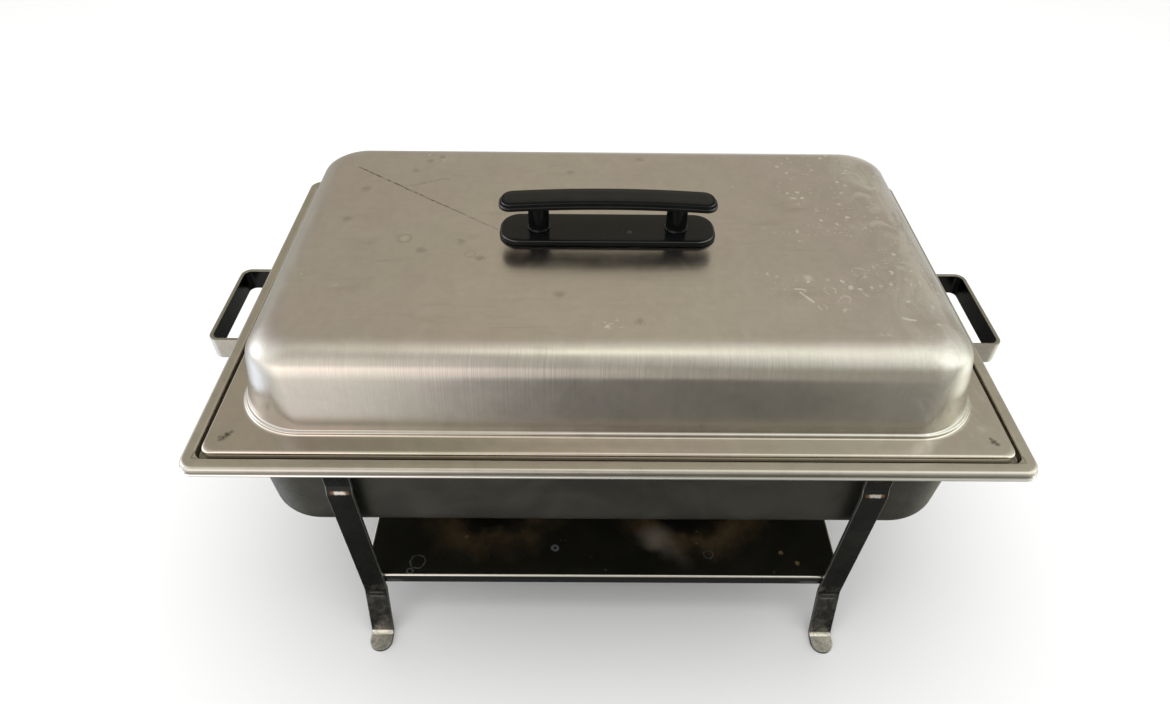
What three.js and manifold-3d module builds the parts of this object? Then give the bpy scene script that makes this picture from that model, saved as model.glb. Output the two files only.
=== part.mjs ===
// Full-size chafing dish: a strap-steel stand with a fuel shelf, a deep water pan, a food pan,
// a lift-off dome cover with a phenolic handle, and two fuel burners with swinging dampers.
// Millimetres, +Z up. The origin is the centre of the footprint on the table; the front faces -Y.
// In names, HX and HY are half sizes along X and Y, R a radius, T a sheet thickness, Z a height.
import * as THREE from "three";
import { mergeVertices } from "three/addons/utils/BufferGeometryUtils.js";
import Module from "manifold-3d";

const wasm = await Module();
wasm.setup();

// ---------------------------------------------------------------- driving dimensions
const GAP = 0.3; // air left between pieces that rest on each other

// water pan: rolled rim, sunk ledge, deep tub
const RIM_TOP = 243;
const RIM_HX = 290;
const RIM_HY = 183;
const RIM_LIP = 7; // height of the turned-down rim edge
const RIM_INNER_HX = 280.6; // where the rim steps down to the ledge
const LEDGE_HX = 279.4; // outer edge of the ledge
const LEDGE_Z = 237.5; // upper face of the ledge that carries the food pan and the cover
const TUB_HX = 262; // tub opening
const TUB_HY = 155.5;
const TUB_FOOT_HX = 258.5; // foot of the tub wall
const TUB_FLOOR = 132.5; // upper face of the tub floor
const PAN_T = 1;

// food pan
const FOOD_HX = 265;
const FOOD_HY = 162.5;
const FOOD_WELL_HX = 252; // well opening
const FOOD_WELL_HY = 149.5;
const FOOD_FOOT_HX = 247; // foot of the well wall
const FOOD_FLOOR_HX = 226; // where the flat floor starts
const FOOD_DEPTH = 65;
const FOOD_T = 0.8;

// cover
const COVER_HX = 277.5;
const COVER_HY = 168;
const COVER_FLANGE_Z = 244; // upper face of the cover flange
const DOME_HX = 262; // dome at its foot
const DOME_HY = 152;
const SHOULDER_HX = 245.6; // where the dome wall meets the crown
const SHOULDER_HY = 139.6;
const CROWN_HX = 212; // innermost station of the crown
const DOME_TOP = 309;
const COVER_T = 0.9;

// cover handle: a base plate, and an arched grip on two posts
const PLATE_L = 165.6;
const PLATE_W = 40;
const PLATE_T = 3.5;
const PLATE_SKIRT_H = 2.4; // height of the wider lower part of the plate
const PLATE_INSET = 0.6; // how far the upper part stands back from it
const PLATE_BOTTOM = DOME_TOP + 0.4;
const PLATE_TOP = PLATE_BOTTOM + PLATE_T;
const GRIP_L = 164.6;
const GRIP_W = 24;
const GRIP_INSET = 2; // how far the upper part of the bar stands back from the lower
const GRIP_TOP = 342; // top of the bar at mid length
const GRIP_SAG = 3.2; // the bar's ends lie this much lower than its middle
const POST_X = 52.7;
const POST_R = 8.25;

// cover fixings, one set under each post
const FIXING_HOLE_R = 2.5; // through dome and plate
const INSERT_SOCKET_R = 3.8;
const INSERT_R = 3.5;
const INSERT_BORE_R = 2.3;
const WASHER_R = 6;
const WASHER_BORE_R = 2.4;
const WASHER_T = 1;
const WASHER_TOP = DOME_TOP - COVER_T - 0.9;
const SCREW_R = 2;
const SCREW_HEAD_R = 3.9;
const SCREW_HEAD_H = 2.8;
const SCREW_HEAD_TOP = WASHER_TOP - WASHER_T - GAP;
const SLOT = { length: 9, width: 1.1, depth: 1.2 };

// stand: flat strap
const STRAP_W = 19;
const STRAP_T = 3;
const BAND_TOP = 236;
const BAND_IN_HX = 264.7; // inner face of the band
const BAND_IN_HY = 158.2;
const BAND_R = 33;
const LEG_X = 202; // outer edge of each leg
const LEG_REACH = 188.8; // tip of each toe, measured along Y
const HANDLE_X = 317.4; // outer face of each side handle
const HANDLE_HY = 46.5; // half length of each side handle over its arms
const HANDLE_FOOT_HY = 64; // half length over its feet
const HANDLE_TOP = BAND_TOP - 1;

// fuel shelf
const SHELF_TOP = 71.4;
const SHELF_HX = 199.5;
const SHELF_HY = 156.9;
const SHELF_INNER_HX = 150; // innermost station of the flat top
const SHELF_FLANGE = 10;
const SHELF_R = 3;
const SHELF_T = 1;

// burners
const BURNER_X = 118;
const CUP_R = 44;
const CUP_H = 42;
const CUP_T = 0.9;
const CUP_BOTTOM = SHELF_TOP + GAP;
const CUP_TOP = CUP_BOTTOM + CUP_H;
const FLAME_R = 24; // opening in the burner lid
const LID_T = 1;
const LID_BOTTOM = CUP_TOP + GAP;
const LID_SKIRT_IN_R = CUP_R + 0.6;
const LID_SKIRT_OUT_R = CUP_R + 1.5;
const LID_SKIRT_H = 6;
const DAMPER_R = 28;
const DAMPER_T = 1;
const DAMPER_BOTTOM = LID_BOTTOM + LID_T + GAP;
const DAMPER_TOP = DAMPER_BOTTOM + DAMPER_T;
const PIVOT_ARM = 34; // distance of the damper rivet from the burner's axis
const PIVOT_HOLE_R = 2;
const EAR_R = 6; // damper ear round the rivet
const TONGUE_W = 12;
const TONGUE_REACH = 20; // beyond the disc
const TONGUE_OVERLAP = 4; // onto the disc
const TONGUE_H = 9; // height of the turned-up tip
const RIVET_R = 1.6;
const RIVET_HEAD_R = 3.4;
const RIVET_BOTTOM = LID_BOTTOM - 1.6;

const MATERIALS = {
  satin: { color: 0x9c958a, roughness: 0.38, metalness: 1 },
  darkSteel: { color: 0x3a3b38, roughness: 0.32, metalness: 0.9 },
  strap: { color: 0x2a2b2b, roughness: 0.25, metalness: 0.9 },
  bright: { color: 0xb9b6b0, roughness: 0.3, metalness: 1 },
  phenolic: { color: 0x161617, roughness: 0.28, metalness: 0 },
  brass: { color: 0xb08d45, roughness: 0.35, metalness: 1 },
};

// ---------------------------------------------------------------- meshes and solids
const bare = (geometry) => geometry.deleteAttribute("normal").deleteAttribute("uv");
const welded = (geometry) => mergeVertices(bare(geometry), 1e-4);

function addPiece(parent, name, material, geometry) {
  const faceted = bare(geometry.index ? geometry.toNonIndexed() : geometry);
  faceted.computeVertexNormals();
  const mesh = new THREE.Mesh(
    faceted,
    new THREE.MeshStandardMaterial(MATERIALS[material]),
  );
  mesh.name = name;
  parent.add(mesh);
}

function solid(geometry) {
  const closed = welded(geometry);
  return new wasm.Manifold(
    new wasm.Mesh({
      numProp: 3,
      vertProperties: new Float32Array(closed.attributes.position.array),
      triVerts: new Uint32Array(closed.index.array),
    }),
  );
}

function geometryOf(manifold) {
  const mesh = manifold.getMesh();
  const positions = new Float32Array(mesh.vertProperties);
  const geometry = new THREE.BufferGeometry();
  geometry.setAttribute("position", new THREE.BufferAttribute(positions, 3));
  geometry.setIndex(new THREE.BufferAttribute(new Uint32Array(mesh.triVerts), 1));
  return geometry;
}

// Turns a closed skin to face outwards, which means a positive signed volume.
function faceOutward(geometry) {
  const corners = geometry.index.array;
  const points = geometry.attributes.position;
  const corner = (k) => new THREE.Vector3().fromBufferAttribute(points, corners[k]);
  let volume = 0;
  for (let i = 0; i < corners.length; i += 3)
    volume += corner(i).dot(corner(i + 1).cross(corner(i + 2)));
  if (volume < 0)
    for (let i = 0; i < corners.length; i += 3)
      [corners[i + 1], corners[i + 2]] = [corners[i + 2], corners[i + 1]];
  return geometry;
}

// Upright round bar, for bores and pins.
function roundBar(radius, bottom, top, x = 0, sides = 14) {
  const bar = new THREE.CylinderGeometry(radius, radius, top - bottom, sides);
  bar.rotateX(Math.PI / 2);
  bar.translate(x, 0, (bottom + top) / 2);
  return solid(bar);
}

const box = (size, centre) =>
  solid(new THREE.BoxGeometry(...size).translate(...centre));

function slab(shape, bottom, top, curveSegments = 6) {
  const plate = new THREE.ExtrudeGeometry(shape, {
    depth: top - bottom,
    bevelEnabled: false,
    curveSegments,
  });
  return plate.translate(0, 0, bottom);
}

// Closed profile of (radius, z) points turned about the Z axis.
function lathe(profile) {
  const sides = 24;
  const turned = new THREE.LatheGeometry(profile.map(([r, z]) => point(r, z)), sides);
  const skin = welded(turned.rotateX(Math.PI / 2));
  // drop the slivers that collapse on the axis
  const corners = skin.index.array;
  const kept = [];
  for (let i = 0; i < corners.length; i += 3) {
    const [a, b, c] = corners.slice(i, i + 3);
    if (a !== b && b !== c && a !== c) kept.push(a, b, c);
  }
  skin.setIndex(kept);
  return faceOutward(skin);
}

// ---------------------------------------------------------------- outlines
const point = (x, y) => new THREE.Vector2(x, y);

// Rounds each corner of an open polyline with its own radius; radii under 5 take only two steps.
function filleted(points, radii, largeSteps = 4) {
  const out = [points[0].clone()];
  radii.forEach((radius, i) => {
    const corner = points[i + 1];
    const back = points[i].clone().sub(corner).normalize();
    const ahead = points[i + 2].clone().sub(corner).normalize();
    const half = Math.acos(back.dot(ahead)) / 2;
    const reach = radius / Math.tan(half);
    const bisector = back.clone().add(ahead).normalize();
    const centre = corner.clone().addScaledVector(bisector, radius / Math.sin(half));
    const from = corner.clone().addScaledVector(back, reach).sub(centre);
    const to = corner.clone().addScaledVector(ahead, reach).sub(centre);
    const start = Math.atan2(from.y, from.x);
    let turn = Math.atan2(to.y, to.x) - start;
    if (turn > Math.PI) turn -= 2 * Math.PI;
    if (turn < -Math.PI) turn += 2 * Math.PI;
    const steps = radius < 5 ? 2 : largeSteps;
    for (let k = 0; k <= steps; k++) {
      const angle = start + (turn * k) / steps;
      out.push(
        point(centre.x + radius * Math.cos(angle), centre.y + radius * Math.sin(angle)),
      );
    }
  });
  out.push(points[points.length - 1].clone());
  return out;
}

// Offsets a polyline to its left, mitred at the corners.
function offsetLeft(points, distance) {
  return points.map((p, i) => {
    const directions = [];
    if (i > 0) directions.push(p.clone().sub(points[i - 1]).normalize());
    if (i < points.length - 1)
      directions.push(points[i + 1].clone().sub(p).normalize());
    const normals = directions.map((d) => point(-d.y, d.x));
    const mitre = normals[0].clone();
    if (normals.length === 2)
      mitre.add(normals[1]).multiplyScalar(1 / (1 + normals[0].dot(normals[1])));
    return p.clone().addScaledVector(mitre, distance);
  });
}

// The outline of the strap, seen on edge, bent along a polyline.
function strapOutline(path) {
  return [
    ...offsetLeft(path, STRAP_T / 2),
    ...offsetLeft(path, -STRAP_T / 2).reverse(),
  ];
}

function roundedRect(hx, hy, r) {
  const shape = new THREE.Shape();
  shape.moveTo(hx, -hy + r);
  shape.lineTo(hx, hy - r);
  shape.absarc(hx - r, hy - r, r, 0, Math.PI / 2, false);
  shape.lineTo(-hx + r, hy);
  shape.absarc(-hx + r, hy - r, r, Math.PI / 2, Math.PI, false);
  shape.lineTo(-hx, -hy + r);
  shape.absarc(-hx + r, -hy + r, r, Math.PI, 1.5 * Math.PI, false);
  shape.lineTo(hx - r, -hy);
  shape.absarc(hx - r, -hy + r, r, 1.5 * Math.PI, 2 * Math.PI, false);
  return shape;
}

// ---------------------------------------------------------------- pressed sheet
// One ring of points round a rounded rectangle.
function ring(hx, hy, r, z, cornerSteps) {
  const centres = [
    [hx - r, hy - r],
    [-hx + r, hy - r],
    [-hx + r, -hy + r],
    [hx - r, -hy + r],
  ];
  return centres.flatMap(([x, y], quarter) =>
    Array.from({ length: cornerSteps + 1 }, (_, i) => {
      const angle = ((quarter + i / cornerSteps) * Math.PI) / 2;
      return [x + r * Math.cos(angle), y + r * Math.sin(angle), z];
    }),
  );
}

// A closed skin through a list of rings; each end closes to a centre point at its own height.
function skinned(rings, firstZ, lastZ) {
  const count = rings[0].length;
  const firstCentre = rings.length * count;
  const lastCentre = firstCentre + 1;
  const lastRing = firstCentre - count;
  const positions = [...rings.flat(2), 0, 0, firstZ, 0, 0, lastZ];
  const corners = [];
  for (let j = 0; j < rings.length - 1; j++)
    for (let i = 0; i < count; i++) {
      const a = j * count + i;
      const b = j * count + ((i + 1) % count);
      corners.push(a, a + count, b, b, a + count, b + count);
    }
  for (let i = 0; i < count; i++) {
    const next = (i + 1) % count;
    corners.push(firstCentre, i, next);
    corners.push(lastCentre, lastRing + next, lastRing + i);
  }
  const skin = new THREE.BufferGeometry();
  skin.setAttribute("position", new THREE.Float32BufferAttribute(positions, 3));
  skin.setIndex(corners);
  return faceOutward(skin);
}

// Reads a table of (x, value) with falling x; past either end the value changes one for one with x.
function lookUp(table, x) {
  if (x >= table[0][0]) return table[0][1] + (x - table[0][0]);
  for (let i = 1; i < table.length; i++)
    if (x >= table[i][0]) {
      const [x1, value1] = table[i - 1];
      const [x0, value0] = table[i];
      return value0 + ((x - x0) * (value1 - value0)) / (x1 - x0);
    }
  const [endX, endValue] = table[table.length - 1];
  return endValue + (x - endX);
}

// Sheet whose upper face is a section (half length, height), running from the edge towards the
// middle, swept round a rounded rectangle. The tables give the half width and the corner radius
// for each half length; crown is the rise of the centre above the last station.
function pressed({ section, thickness, halfWidths, cornerRadii, crown = 0, cornerSteps = 6 }) {
  // the matching point of the upper face fixes the width and corner radius of both faces
  const ringAt = (p, upper) => {
    const shift = p.x - upper.x;
    return ring(
      p.x,
      lookUp(halfWidths, upper.x) + shift,
      lookUp(cornerRadii, upper.x) + shift,
      p.y,
      cornerSteps,
    );
  };
  const upperRings = section.map((p) => ringAt(p, p));
  const lowerRings = offsetLeft(section, thickness).map((p, i) => ringAt(p, section[i]));
  const centreZ = section[section.length - 1].y + crown;
  return skinned([...upperRings.reverse(), ...lowerRings], centreZ, centreZ - thickness);
}

// ---------------------------------------------------------------- pans
function waterPan() {
  return pressed({
    section: filleted(
      [
        point(RIM_HX, RIM_TOP - RIM_LIP),
        point(RIM_HX, RIM_TOP),
        point(RIM_INNER_HX, RIM_TOP),
        point(LEDGE_HX, LEDGE_Z),
        point(TUB_HX, LEDGE_Z),
        point(TUB_FOOT_HX, TUB_FLOOR),
        point(225, TUB_FLOOR),
      ],
      [2.6, 1.6, 1.4, 2, 25],
    ),
    thickness: PAN_T,
    halfWidths: [
      [RIM_HX, RIM_HY],
      [RIM_INNER_HX, 172.4],
      [LEDGE_HX, 171.2],
      [TUB_HX, TUB_HY],
    ],
    cornerRadii: [
      [RIM_HX, 11],
      [RIM_INNER_HX, 8],
      [LEDGE_HX, 7.5],
      [TUB_HX, 34],
      [TUB_FOOT_HX, 36],
      [230, 22],
      [200, 14],
    ],
    crown: -0.6,
  });
}

function foodPan() {
  const top = LEDGE_Z + GAP + FOOD_T;
  const floor = top - FOOD_DEPTH + FOOD_T;
  return pressed({
    section: filleted(
      [
        point(FOOD_HX, top),
        point(FOOD_WELL_HX, top),
        point(FOOD_FOOT_HX, floor),
        point(FOOD_FLOOR_HX, floor),
      ],
      [4, 15],
    ),
    thickness: FOOD_T,
    halfWidths: [
      [FOOD_HX, FOOD_HY],
      [FOOD_WELL_HX, FOOD_WELL_HY],
    ],
    cornerRadii: [
      [FOOD_HX, 20],
      [FOOD_WELL_HX, 28],
      [FOOD_FOOT_HX, 28],
      [FOOD_FLOOR_HX, 16],
    ],
  });
}

// ---------------------------------------------------------------- cover
function coverDome() {
  const sheet = pressed({
    section: filleted(
      [
        point(COVER_HX, LEDGE_Z + 0.4),
        point(COVER_HX, COVER_FLANGE_Z),
        point(DOME_HX, COVER_FLANGE_Z),
        point(SHOULDER_HX, DOME_TOP - 1.2),
        point(CROWN_HX, DOME_TOP - 0.7),
      ],
      [1.9, 2.6, 26],
      5,
    ),
    thickness: COVER_T,
    halfWidths: [
      [COVER_HX, COVER_HY],
      [DOME_HX, DOME_HY],
      [SHOULDER_HX, SHOULDER_HY],
    ],
    cornerRadii: [
      [COVER_HX, 7],
      [DOME_HX, 51],
      [246, 30],
      [CROWN_HX, 21],
    ],
    crown: 0.7,
    cornerSteps: 7,
  });
  let dome = solid(sheet);
  for (const sign of [-1, 1])
    dome = dome.subtract(
      roundBar(FIXING_HOLE_R, DOME_TOP - 9, DOME_TOP + 6, sign * POST_X),
    );
  return geometryOf(dome);
}

function coverBasePlate() {
  const step = PLATE_BOTTOM + PLATE_SKIRT_H;
  const skirtR = 16;
  const upper = roundedRect(
    PLATE_L / 2 - PLATE_INSET,
    PLATE_W / 2 - PLATE_INSET,
    skirtR - PLATE_INSET,
  );
  const skirt = roundedRect(PLATE_L / 2, PLATE_W / 2, skirtR);
  let plate = solid(slab(upper, step, PLATE_TOP)).add(
    solid(slab(skirt, PLATE_BOTTOM, step)),
  );
  for (const sign of [-1, 1])
    plate = plate.subtract(
      roundBar(FIXING_HOLE_R, PLATE_BOTTOM - 1, PLATE_TOP + 1, sign * POST_X),
    );
  return geometryOf(plate);
}

// One layer of the arched bar: a shallow bow in side view, a rounded oblong in plan.
function gripLayer({ drop, thickness, inset, cornerR }) {
  const half = GRIP_L / 2 + 4; // overlong, the plan outline trims it
  const steps = 12;
  const top = [];
  for (let i = 0; i <= steps; i++) {
    const x = -half + (2 * half * i) / steps;
    top.push(point(x, GRIP_TOP - drop - GRIP_SAG * (x / (GRIP_L / 2)) ** 2));
  }
  const underside = top.map((p) => point(p.x, p.y - thickness)).reverse();
  const bow = slab(new THREE.Shape([...top, ...underside]), -20, 20);
  const plan = roundedRect(GRIP_L / 2 - inset, GRIP_W / 2 - inset, cornerR);
  return solid(bow.rotateX(Math.PI / 2)).intersect(solid(slab(plan, 300, 360)));
}

function coverGrip() {
  const upper = gripLayer({ drop: 0, thickness: 4, inset: GRIP_INSET, cornerR: 8 });
  const lower = gripLayer({ drop: 1.9, thickness: 4.1, inset: 0, cornerR: 10 });
  let grip = upper.add(lower);
  for (const sign of [-1, 1]) {
    const x = sign * POST_X;
    grip = grip
      .add(roundBar(POST_R, PLATE_TOP + GAP, GRIP_TOP - 5, x, 20))
      .subtract(roundBar(INSERT_SOCKET_R, PLATE_TOP - 2, PLATE_TOP + 15, x));
  }
  return geometryOf(grip);
}

// Brass insert moulded into a post.
function gripInsert(x) {
  const body = roundBar(INSERT_R, PLATE_TOP + GAP + 0.2, PLATE_TOP + 14, x);
  const bore = roundBar(INSERT_BORE_R, PLATE_TOP - 2, PLATE_TOP + 20, x);
  return geometryOf(body.subtract(bore));
}

function coverWasher(x) {
  const disc = roundBar(WASHER_R, WASHER_TOP - WASHER_T, WASHER_TOP, x, 16);
  const bore = roundBar(WASHER_BORE_R, WASHER_TOP - 5, WASHER_TOP + 5, x);
  return geometryOf(disc.subtract(bore));
}

// Screw from below, with a slot across the underside of its head.
function coverScrew(x) {
  const headBottom = SCREW_HEAD_TOP - SCREW_HEAD_H;
  const head = roundBar(SCREW_HEAD_R, headBottom, SCREW_HEAD_TOP, x, 16);
  const shank = roundBar(SCREW_R, SCREW_HEAD_TOP - 1, PLATE_TOP + 12, x);
  const slot = box([SLOT.length, SLOT.width, 2 * SLOT.depth], [x, 0, headBottom]);
  return geometryOf(head.add(shank).subtract(slot));
}

// ---------------------------------------------------------------- stand
function frameBand() {
  const outline = roundedRect(
    BAND_IN_HX + STRAP_T,
    BAND_IN_HY + STRAP_T,
    BAND_R + STRAP_T,
  );
  outline.holes.push(roundedRect(BAND_IN_HX, BAND_IN_HY, BAND_R));
  return slab(outline, BAND_TOP - STRAP_W, BAND_TOP, 7);
}

// Front right leg, drawn in the plane seen from +X: u is -Y (outwards), v is Z.
function frontRightLeg() {
  const topU = BAND_IN_HY + STRAP_T + GAP + STRAP_T / 2;
  const path = filleted(
    [
      point(topU, BAND_TOP - 0.3),
      point(topU, 202),
      point(topU + 2.2, 194.5),
      point(158.3, 53),
      point(170.6, STRAP_T / 2),
      point(LEG_REACH, STRAP_T / 2),
    ],
    [5, 5, 9, 5.5],
  );
  const strap = slab(new THREE.Shape(strapOutline(path)), 0, STRAP_W);
  // (u, v, depth) -> (X = LEG_X - depth, Y = -u, Z = v)
  const toWorld = new THREE.Matrix4().set(
    0, 0, -1, LEG_X,
    -1, 0, 0, 0,
    0, 1, 0, 0,
    0, 0, 0, 1,
  );
  strap.applyMatrix4(toWorld);
  return geometryOf(solid(strap).intersect(solid(slab(toePlan(), -5, 260, 12))));
}

// Plan outline that ends in a half circle and trims the toe of the front right leg round.
function toePlan() {
  const radius = STRAP_W / 2;
  const centreY = -LEG_REACH + radius;
  const innerX = LEG_X - STRAP_W;
  const margin = 1; // clearance beside the strap
  const insideY = -120; // well inside the leg
  const plan = new THREE.Shape();
  plan.moveTo(LEG_X + margin, insideY);
  plan.lineTo(LEG_X + margin, centreY);
  plan.lineTo(LEG_X, centreY);
  plan.absarc(LEG_X - radius, centreY, radius, 0, -Math.PI, true);
  plan.lineTo(innerX - margin, centreY);
  plan.lineTo(innerX - margin, insideY);
  return plan;
}

// The strap on edge, bent to a U with a foot turned out along the band at each end.
function sideHandle(sign) {
  const footX = BAND_IN_HX + STRAP_T + GAP + STRAP_T / 2;
  const outerX = HANDLE_X - STRAP_T / 2;
  const armY = HANDLE_HY - STRAP_T / 2;
  const path = filleted(
    [
      point(footX, HANDLE_FOOT_HY),
      point(footX, armY),
      point(outerX, armY),
      point(outerX, -armY),
      point(footX, -armY),
      point(footX, -HANDLE_FOOT_HY),
    ],
    [4, 7, 7, 4],
  );
  const outline = strapOutline(path).map((p) => point(p.x * sign, p.y));
  return slab(new THREE.Shape(outline), HANDLE_TOP - STRAP_W, HANDLE_TOP);
}

// Flat shelf with a turned-down flange on all four sides.
function fuelShelf() {
  return pressed({
    section: filleted(
      [
        point(SHELF_HX, SHELF_TOP - SHELF_FLANGE),
        point(SHELF_HX, SHELF_TOP),
        point(SHELF_INNER_HX, SHELF_TOP),
      ],
      [1.6],
    ),
    thickness: SHELF_T,
    halfWidths: [[SHELF_HX, SHELF_HY]],
    cornerRadii: [
      [SHELF_HX, SHELF_R],
      [SHELF_INNER_HX, SHELF_R],
    ],
    cornerSteps: 2,
  });
}

// ---------------------------------------------------------------- burners
// Each is built about its own axis; pivotX is the place of the damper rivet.
function burnerCup() {
  const innerR = CUP_R - CUP_T;
  return lathe([
    [0, CUP_BOTTOM],
    [CUP_R - 2, CUP_BOTTOM],
    [CUP_R, CUP_BOTTOM + 2],
    [CUP_R, CUP_TOP],
    [innerR, CUP_TOP],
    [innerR, CUP_BOTTOM + 2.4],
    [innerR - 1.5, CUP_BOTTOM + CUP_T],
    [0, CUP_BOTTOM + CUP_T],
  ]);
}

// Lid with a flame opening and a skirt over the cup.
function burnerLid(pivotX) {
  const lid = lathe([
    [FLAME_R, LID_BOTTOM],
    [LID_SKIRT_IN_R, LID_BOTTOM],
    [LID_SKIRT_IN_R, LID_BOTTOM - LID_SKIRT_H],
    [LID_SKIRT_OUT_R, LID_BOTTOM - LID_SKIRT_H],
    [LID_SKIRT_OUT_R, LID_BOTTOM + 0.3],
    [LID_SKIRT_IN_R, LID_BOTTOM + LID_T],
    [FLAME_R, LID_BOTTOM + LID_T],
    [FLAME_R, LID_BOTTOM],
  ]);
  const hole = roundBar(PIVOT_HOLE_R, LID_BOTTOM - 3, LID_BOTTOM + 5, pivotX, 12);
  return geometryOf(solid(lid).subtract(hole));
}

// Disc over the flame opening, with an ear round the rivet and a turned-up tongue at the front.
function burnerDamper(pivotX) {
  const midZ = DAMPER_BOTTOM + DAMPER_T / 2;
  const tongueY = -DAMPER_R - (TONGUE_REACH - TONGUE_OVERLAP) / 2;
  const tipY = -DAMPER_R - TONGUE_REACH + DAMPER_T / 2;
  const disc = roundBar(DAMPER_R, DAMPER_BOTTOM, DAMPER_TOP, 0, 24);
  const ear = roundBar(EAR_R, DAMPER_BOTTOM, DAMPER_TOP, pivotX);
  const neck = box([14, 11, DAMPER_T], [pivotX * 0.75, 0, midZ]);
  const tongue = box(
    [TONGUE_W, TONGUE_REACH + TONGUE_OVERLAP, DAMPER_T],
    [0, tongueY, midZ],
  );
  const tip = box(
    [TONGUE_W, DAMPER_T, TONGUE_H],
    [0, tipY, DAMPER_BOTTOM + TONGUE_H / 2],
  );
  const hole = roundBar(PIVOT_HOLE_R, DAMPER_BOTTOM - 2, DAMPER_BOTTOM + 3, pivotX, 12);
  return geometryOf(disc.add(ear).add(neck).add(tongue).add(tip).subtract(hole));
}

// Rivet with a head below the lid and one above the damper.
function burnerPivot(pivotX) {
  const bar = (radius, bottom, top) => roundBar(radius, bottom, top, pivotX, 12);
  const pin = bar(RIVET_R, RIVET_BOTTOM, DAMPER_TOP + 1.4);
  const lowerHead = bar(RIVET_HEAD_R, RIVET_BOTTOM, LID_BOTTOM - GAP);
  const upperHead = bar(RIVET_HEAD_R, DAMPER_TOP + GAP, DAMPER_TOP + 1.5);
  return geometryOf(pin.add(lowerHead).add(upperHead));
}

// ---------------------------------------------------------------- assembly
const SIDES = [
  ["left", -1],
  ["right", 1],
];

function addCover(parent) {
  const cover = new THREE.Group();
  parent.add(cover);
  addPiece(cover, "cover_dome", "satin", coverDome());
  addPiece(cover, "cover_base_plate", "phenolic", coverBasePlate());
  addPiece(cover, "cover_grip", "phenolic", coverGrip());
  for (const [side, sign] of SIDES) {
    const x = sign * POST_X;
    addPiece(cover, "grip_insert_" + side, "brass", gripInsert(x));
    addPiece(cover, "cover_washer_" + side, "bright", coverWasher(x));
    addPiece(cover, "cover_screw_" + side, "bright", coverScrew(x));
  }
}

function addStand(parent) {
  const stand = new THREE.Group();
  parent.add(stand);
  addPiece(stand, "frame_band", "strap", frameBand());
  const leg = frontRightLeg();
  for (const [name, signX, signY] of [
    ["leg_front_right", 1, 1],
    ["leg_front_left", -1, 1],
    ["leg_rear_right", 1, -1],
    ["leg_rear_left", -1, -1],
  ])
    addPiece(stand, name, "strap", faceOutward(leg.clone().scale(signX, signY, 1)));
  addPiece(stand, "side_handle_right", "strap", sideHandle(1));
  addPiece(stand, "side_handle_left", "strap", sideHandle(-1));
  addPiece(stand, "fuel_shelf", "strap", fuelShelf());
}

function addBurner(parent, side, sign) {
  const burner = new THREE.Group();
  burner.position.set(sign * BURNER_X, 0, 0);
  parent.add(burner);
  const pivotX = -sign * PIVOT_ARM; // towards the middle of the stand
  addPiece(burner, "burner_cup_" + side, "bright", burnerCup());
  addPiece(burner, "burner_lid_" + side, "bright", burnerLid(pivotX));
  addPiece(burner, "burner_damper_" + side, "bright", burnerDamper(pivotX));
  addPiece(burner, "burner_pivot_" + side, "bright", burnerPivot(pivotX));
}

const root = new THREE.Group();
root.name = "chafing_dish";
addPiece(root, "water_pan", "darkSteel", waterPan());
addPiece(root, "food_pan", "satin", foodPan());
addCover(root);
addStand(root);
for (const [side, sign] of SIDES) addBurner(root, side, sign);

export default root;
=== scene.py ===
"""A chafing dish: a domed cover with a bar grip, a food pan in a water pan, and a strap stand
with a shelf and two burners.

The long side lies along X (right is +X), the front faces -Y and the legs stand on z = 0.
Shapes are built in millimetres; materials and lights are in metres.
"""

from functools import cached_property
from math import acos, asin, atan2, ceil, cos, hypot, pi, radians, sin, tan

import bmesh
import bpy
import numpy as np
from mathutils import Matrix, Vector


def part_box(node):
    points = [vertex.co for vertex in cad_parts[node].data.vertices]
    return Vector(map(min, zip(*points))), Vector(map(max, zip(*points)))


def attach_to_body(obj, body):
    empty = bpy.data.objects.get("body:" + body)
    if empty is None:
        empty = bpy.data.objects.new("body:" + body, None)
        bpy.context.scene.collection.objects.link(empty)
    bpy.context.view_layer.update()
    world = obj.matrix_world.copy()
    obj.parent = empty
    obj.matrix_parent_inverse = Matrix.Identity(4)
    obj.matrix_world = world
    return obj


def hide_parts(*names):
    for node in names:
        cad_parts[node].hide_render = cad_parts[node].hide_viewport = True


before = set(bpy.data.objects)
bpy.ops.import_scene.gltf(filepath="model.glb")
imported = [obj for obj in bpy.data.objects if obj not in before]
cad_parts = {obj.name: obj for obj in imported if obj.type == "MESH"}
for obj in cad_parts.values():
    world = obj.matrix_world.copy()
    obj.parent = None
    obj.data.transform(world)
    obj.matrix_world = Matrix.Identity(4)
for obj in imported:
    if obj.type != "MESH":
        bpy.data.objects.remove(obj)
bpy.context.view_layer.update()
MM = 0.001


# ---------------------------------------------------------------- sizes (mm)
def box_mm(node):
    """Lowest and highest corner of a CAD piece."""
    low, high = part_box(node)
    return [c / MM for c in low], [c / MM for c in high]


PAN_LO, PAN_HI = box_mm("water_pan")
FOOD_HI = box_mm("food_pan")[1]
DOME_HI = box_mm("cover_dome")[1]
SHELF_HI = box_mm("fuel_shelf")[1]
BAND_LO, BAND_HI = box_mm("frame_band")
LEG_LO, LEG_HI = box_mm("leg_front_right")
HANDLE_LO, HANDLE_HI = box_mm("side_handle_right")
PLATE_LO, PLATE_HI = box_mm("cover_base_plate")
GRIP_HI = box_mm("cover_grip")[1]

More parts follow.
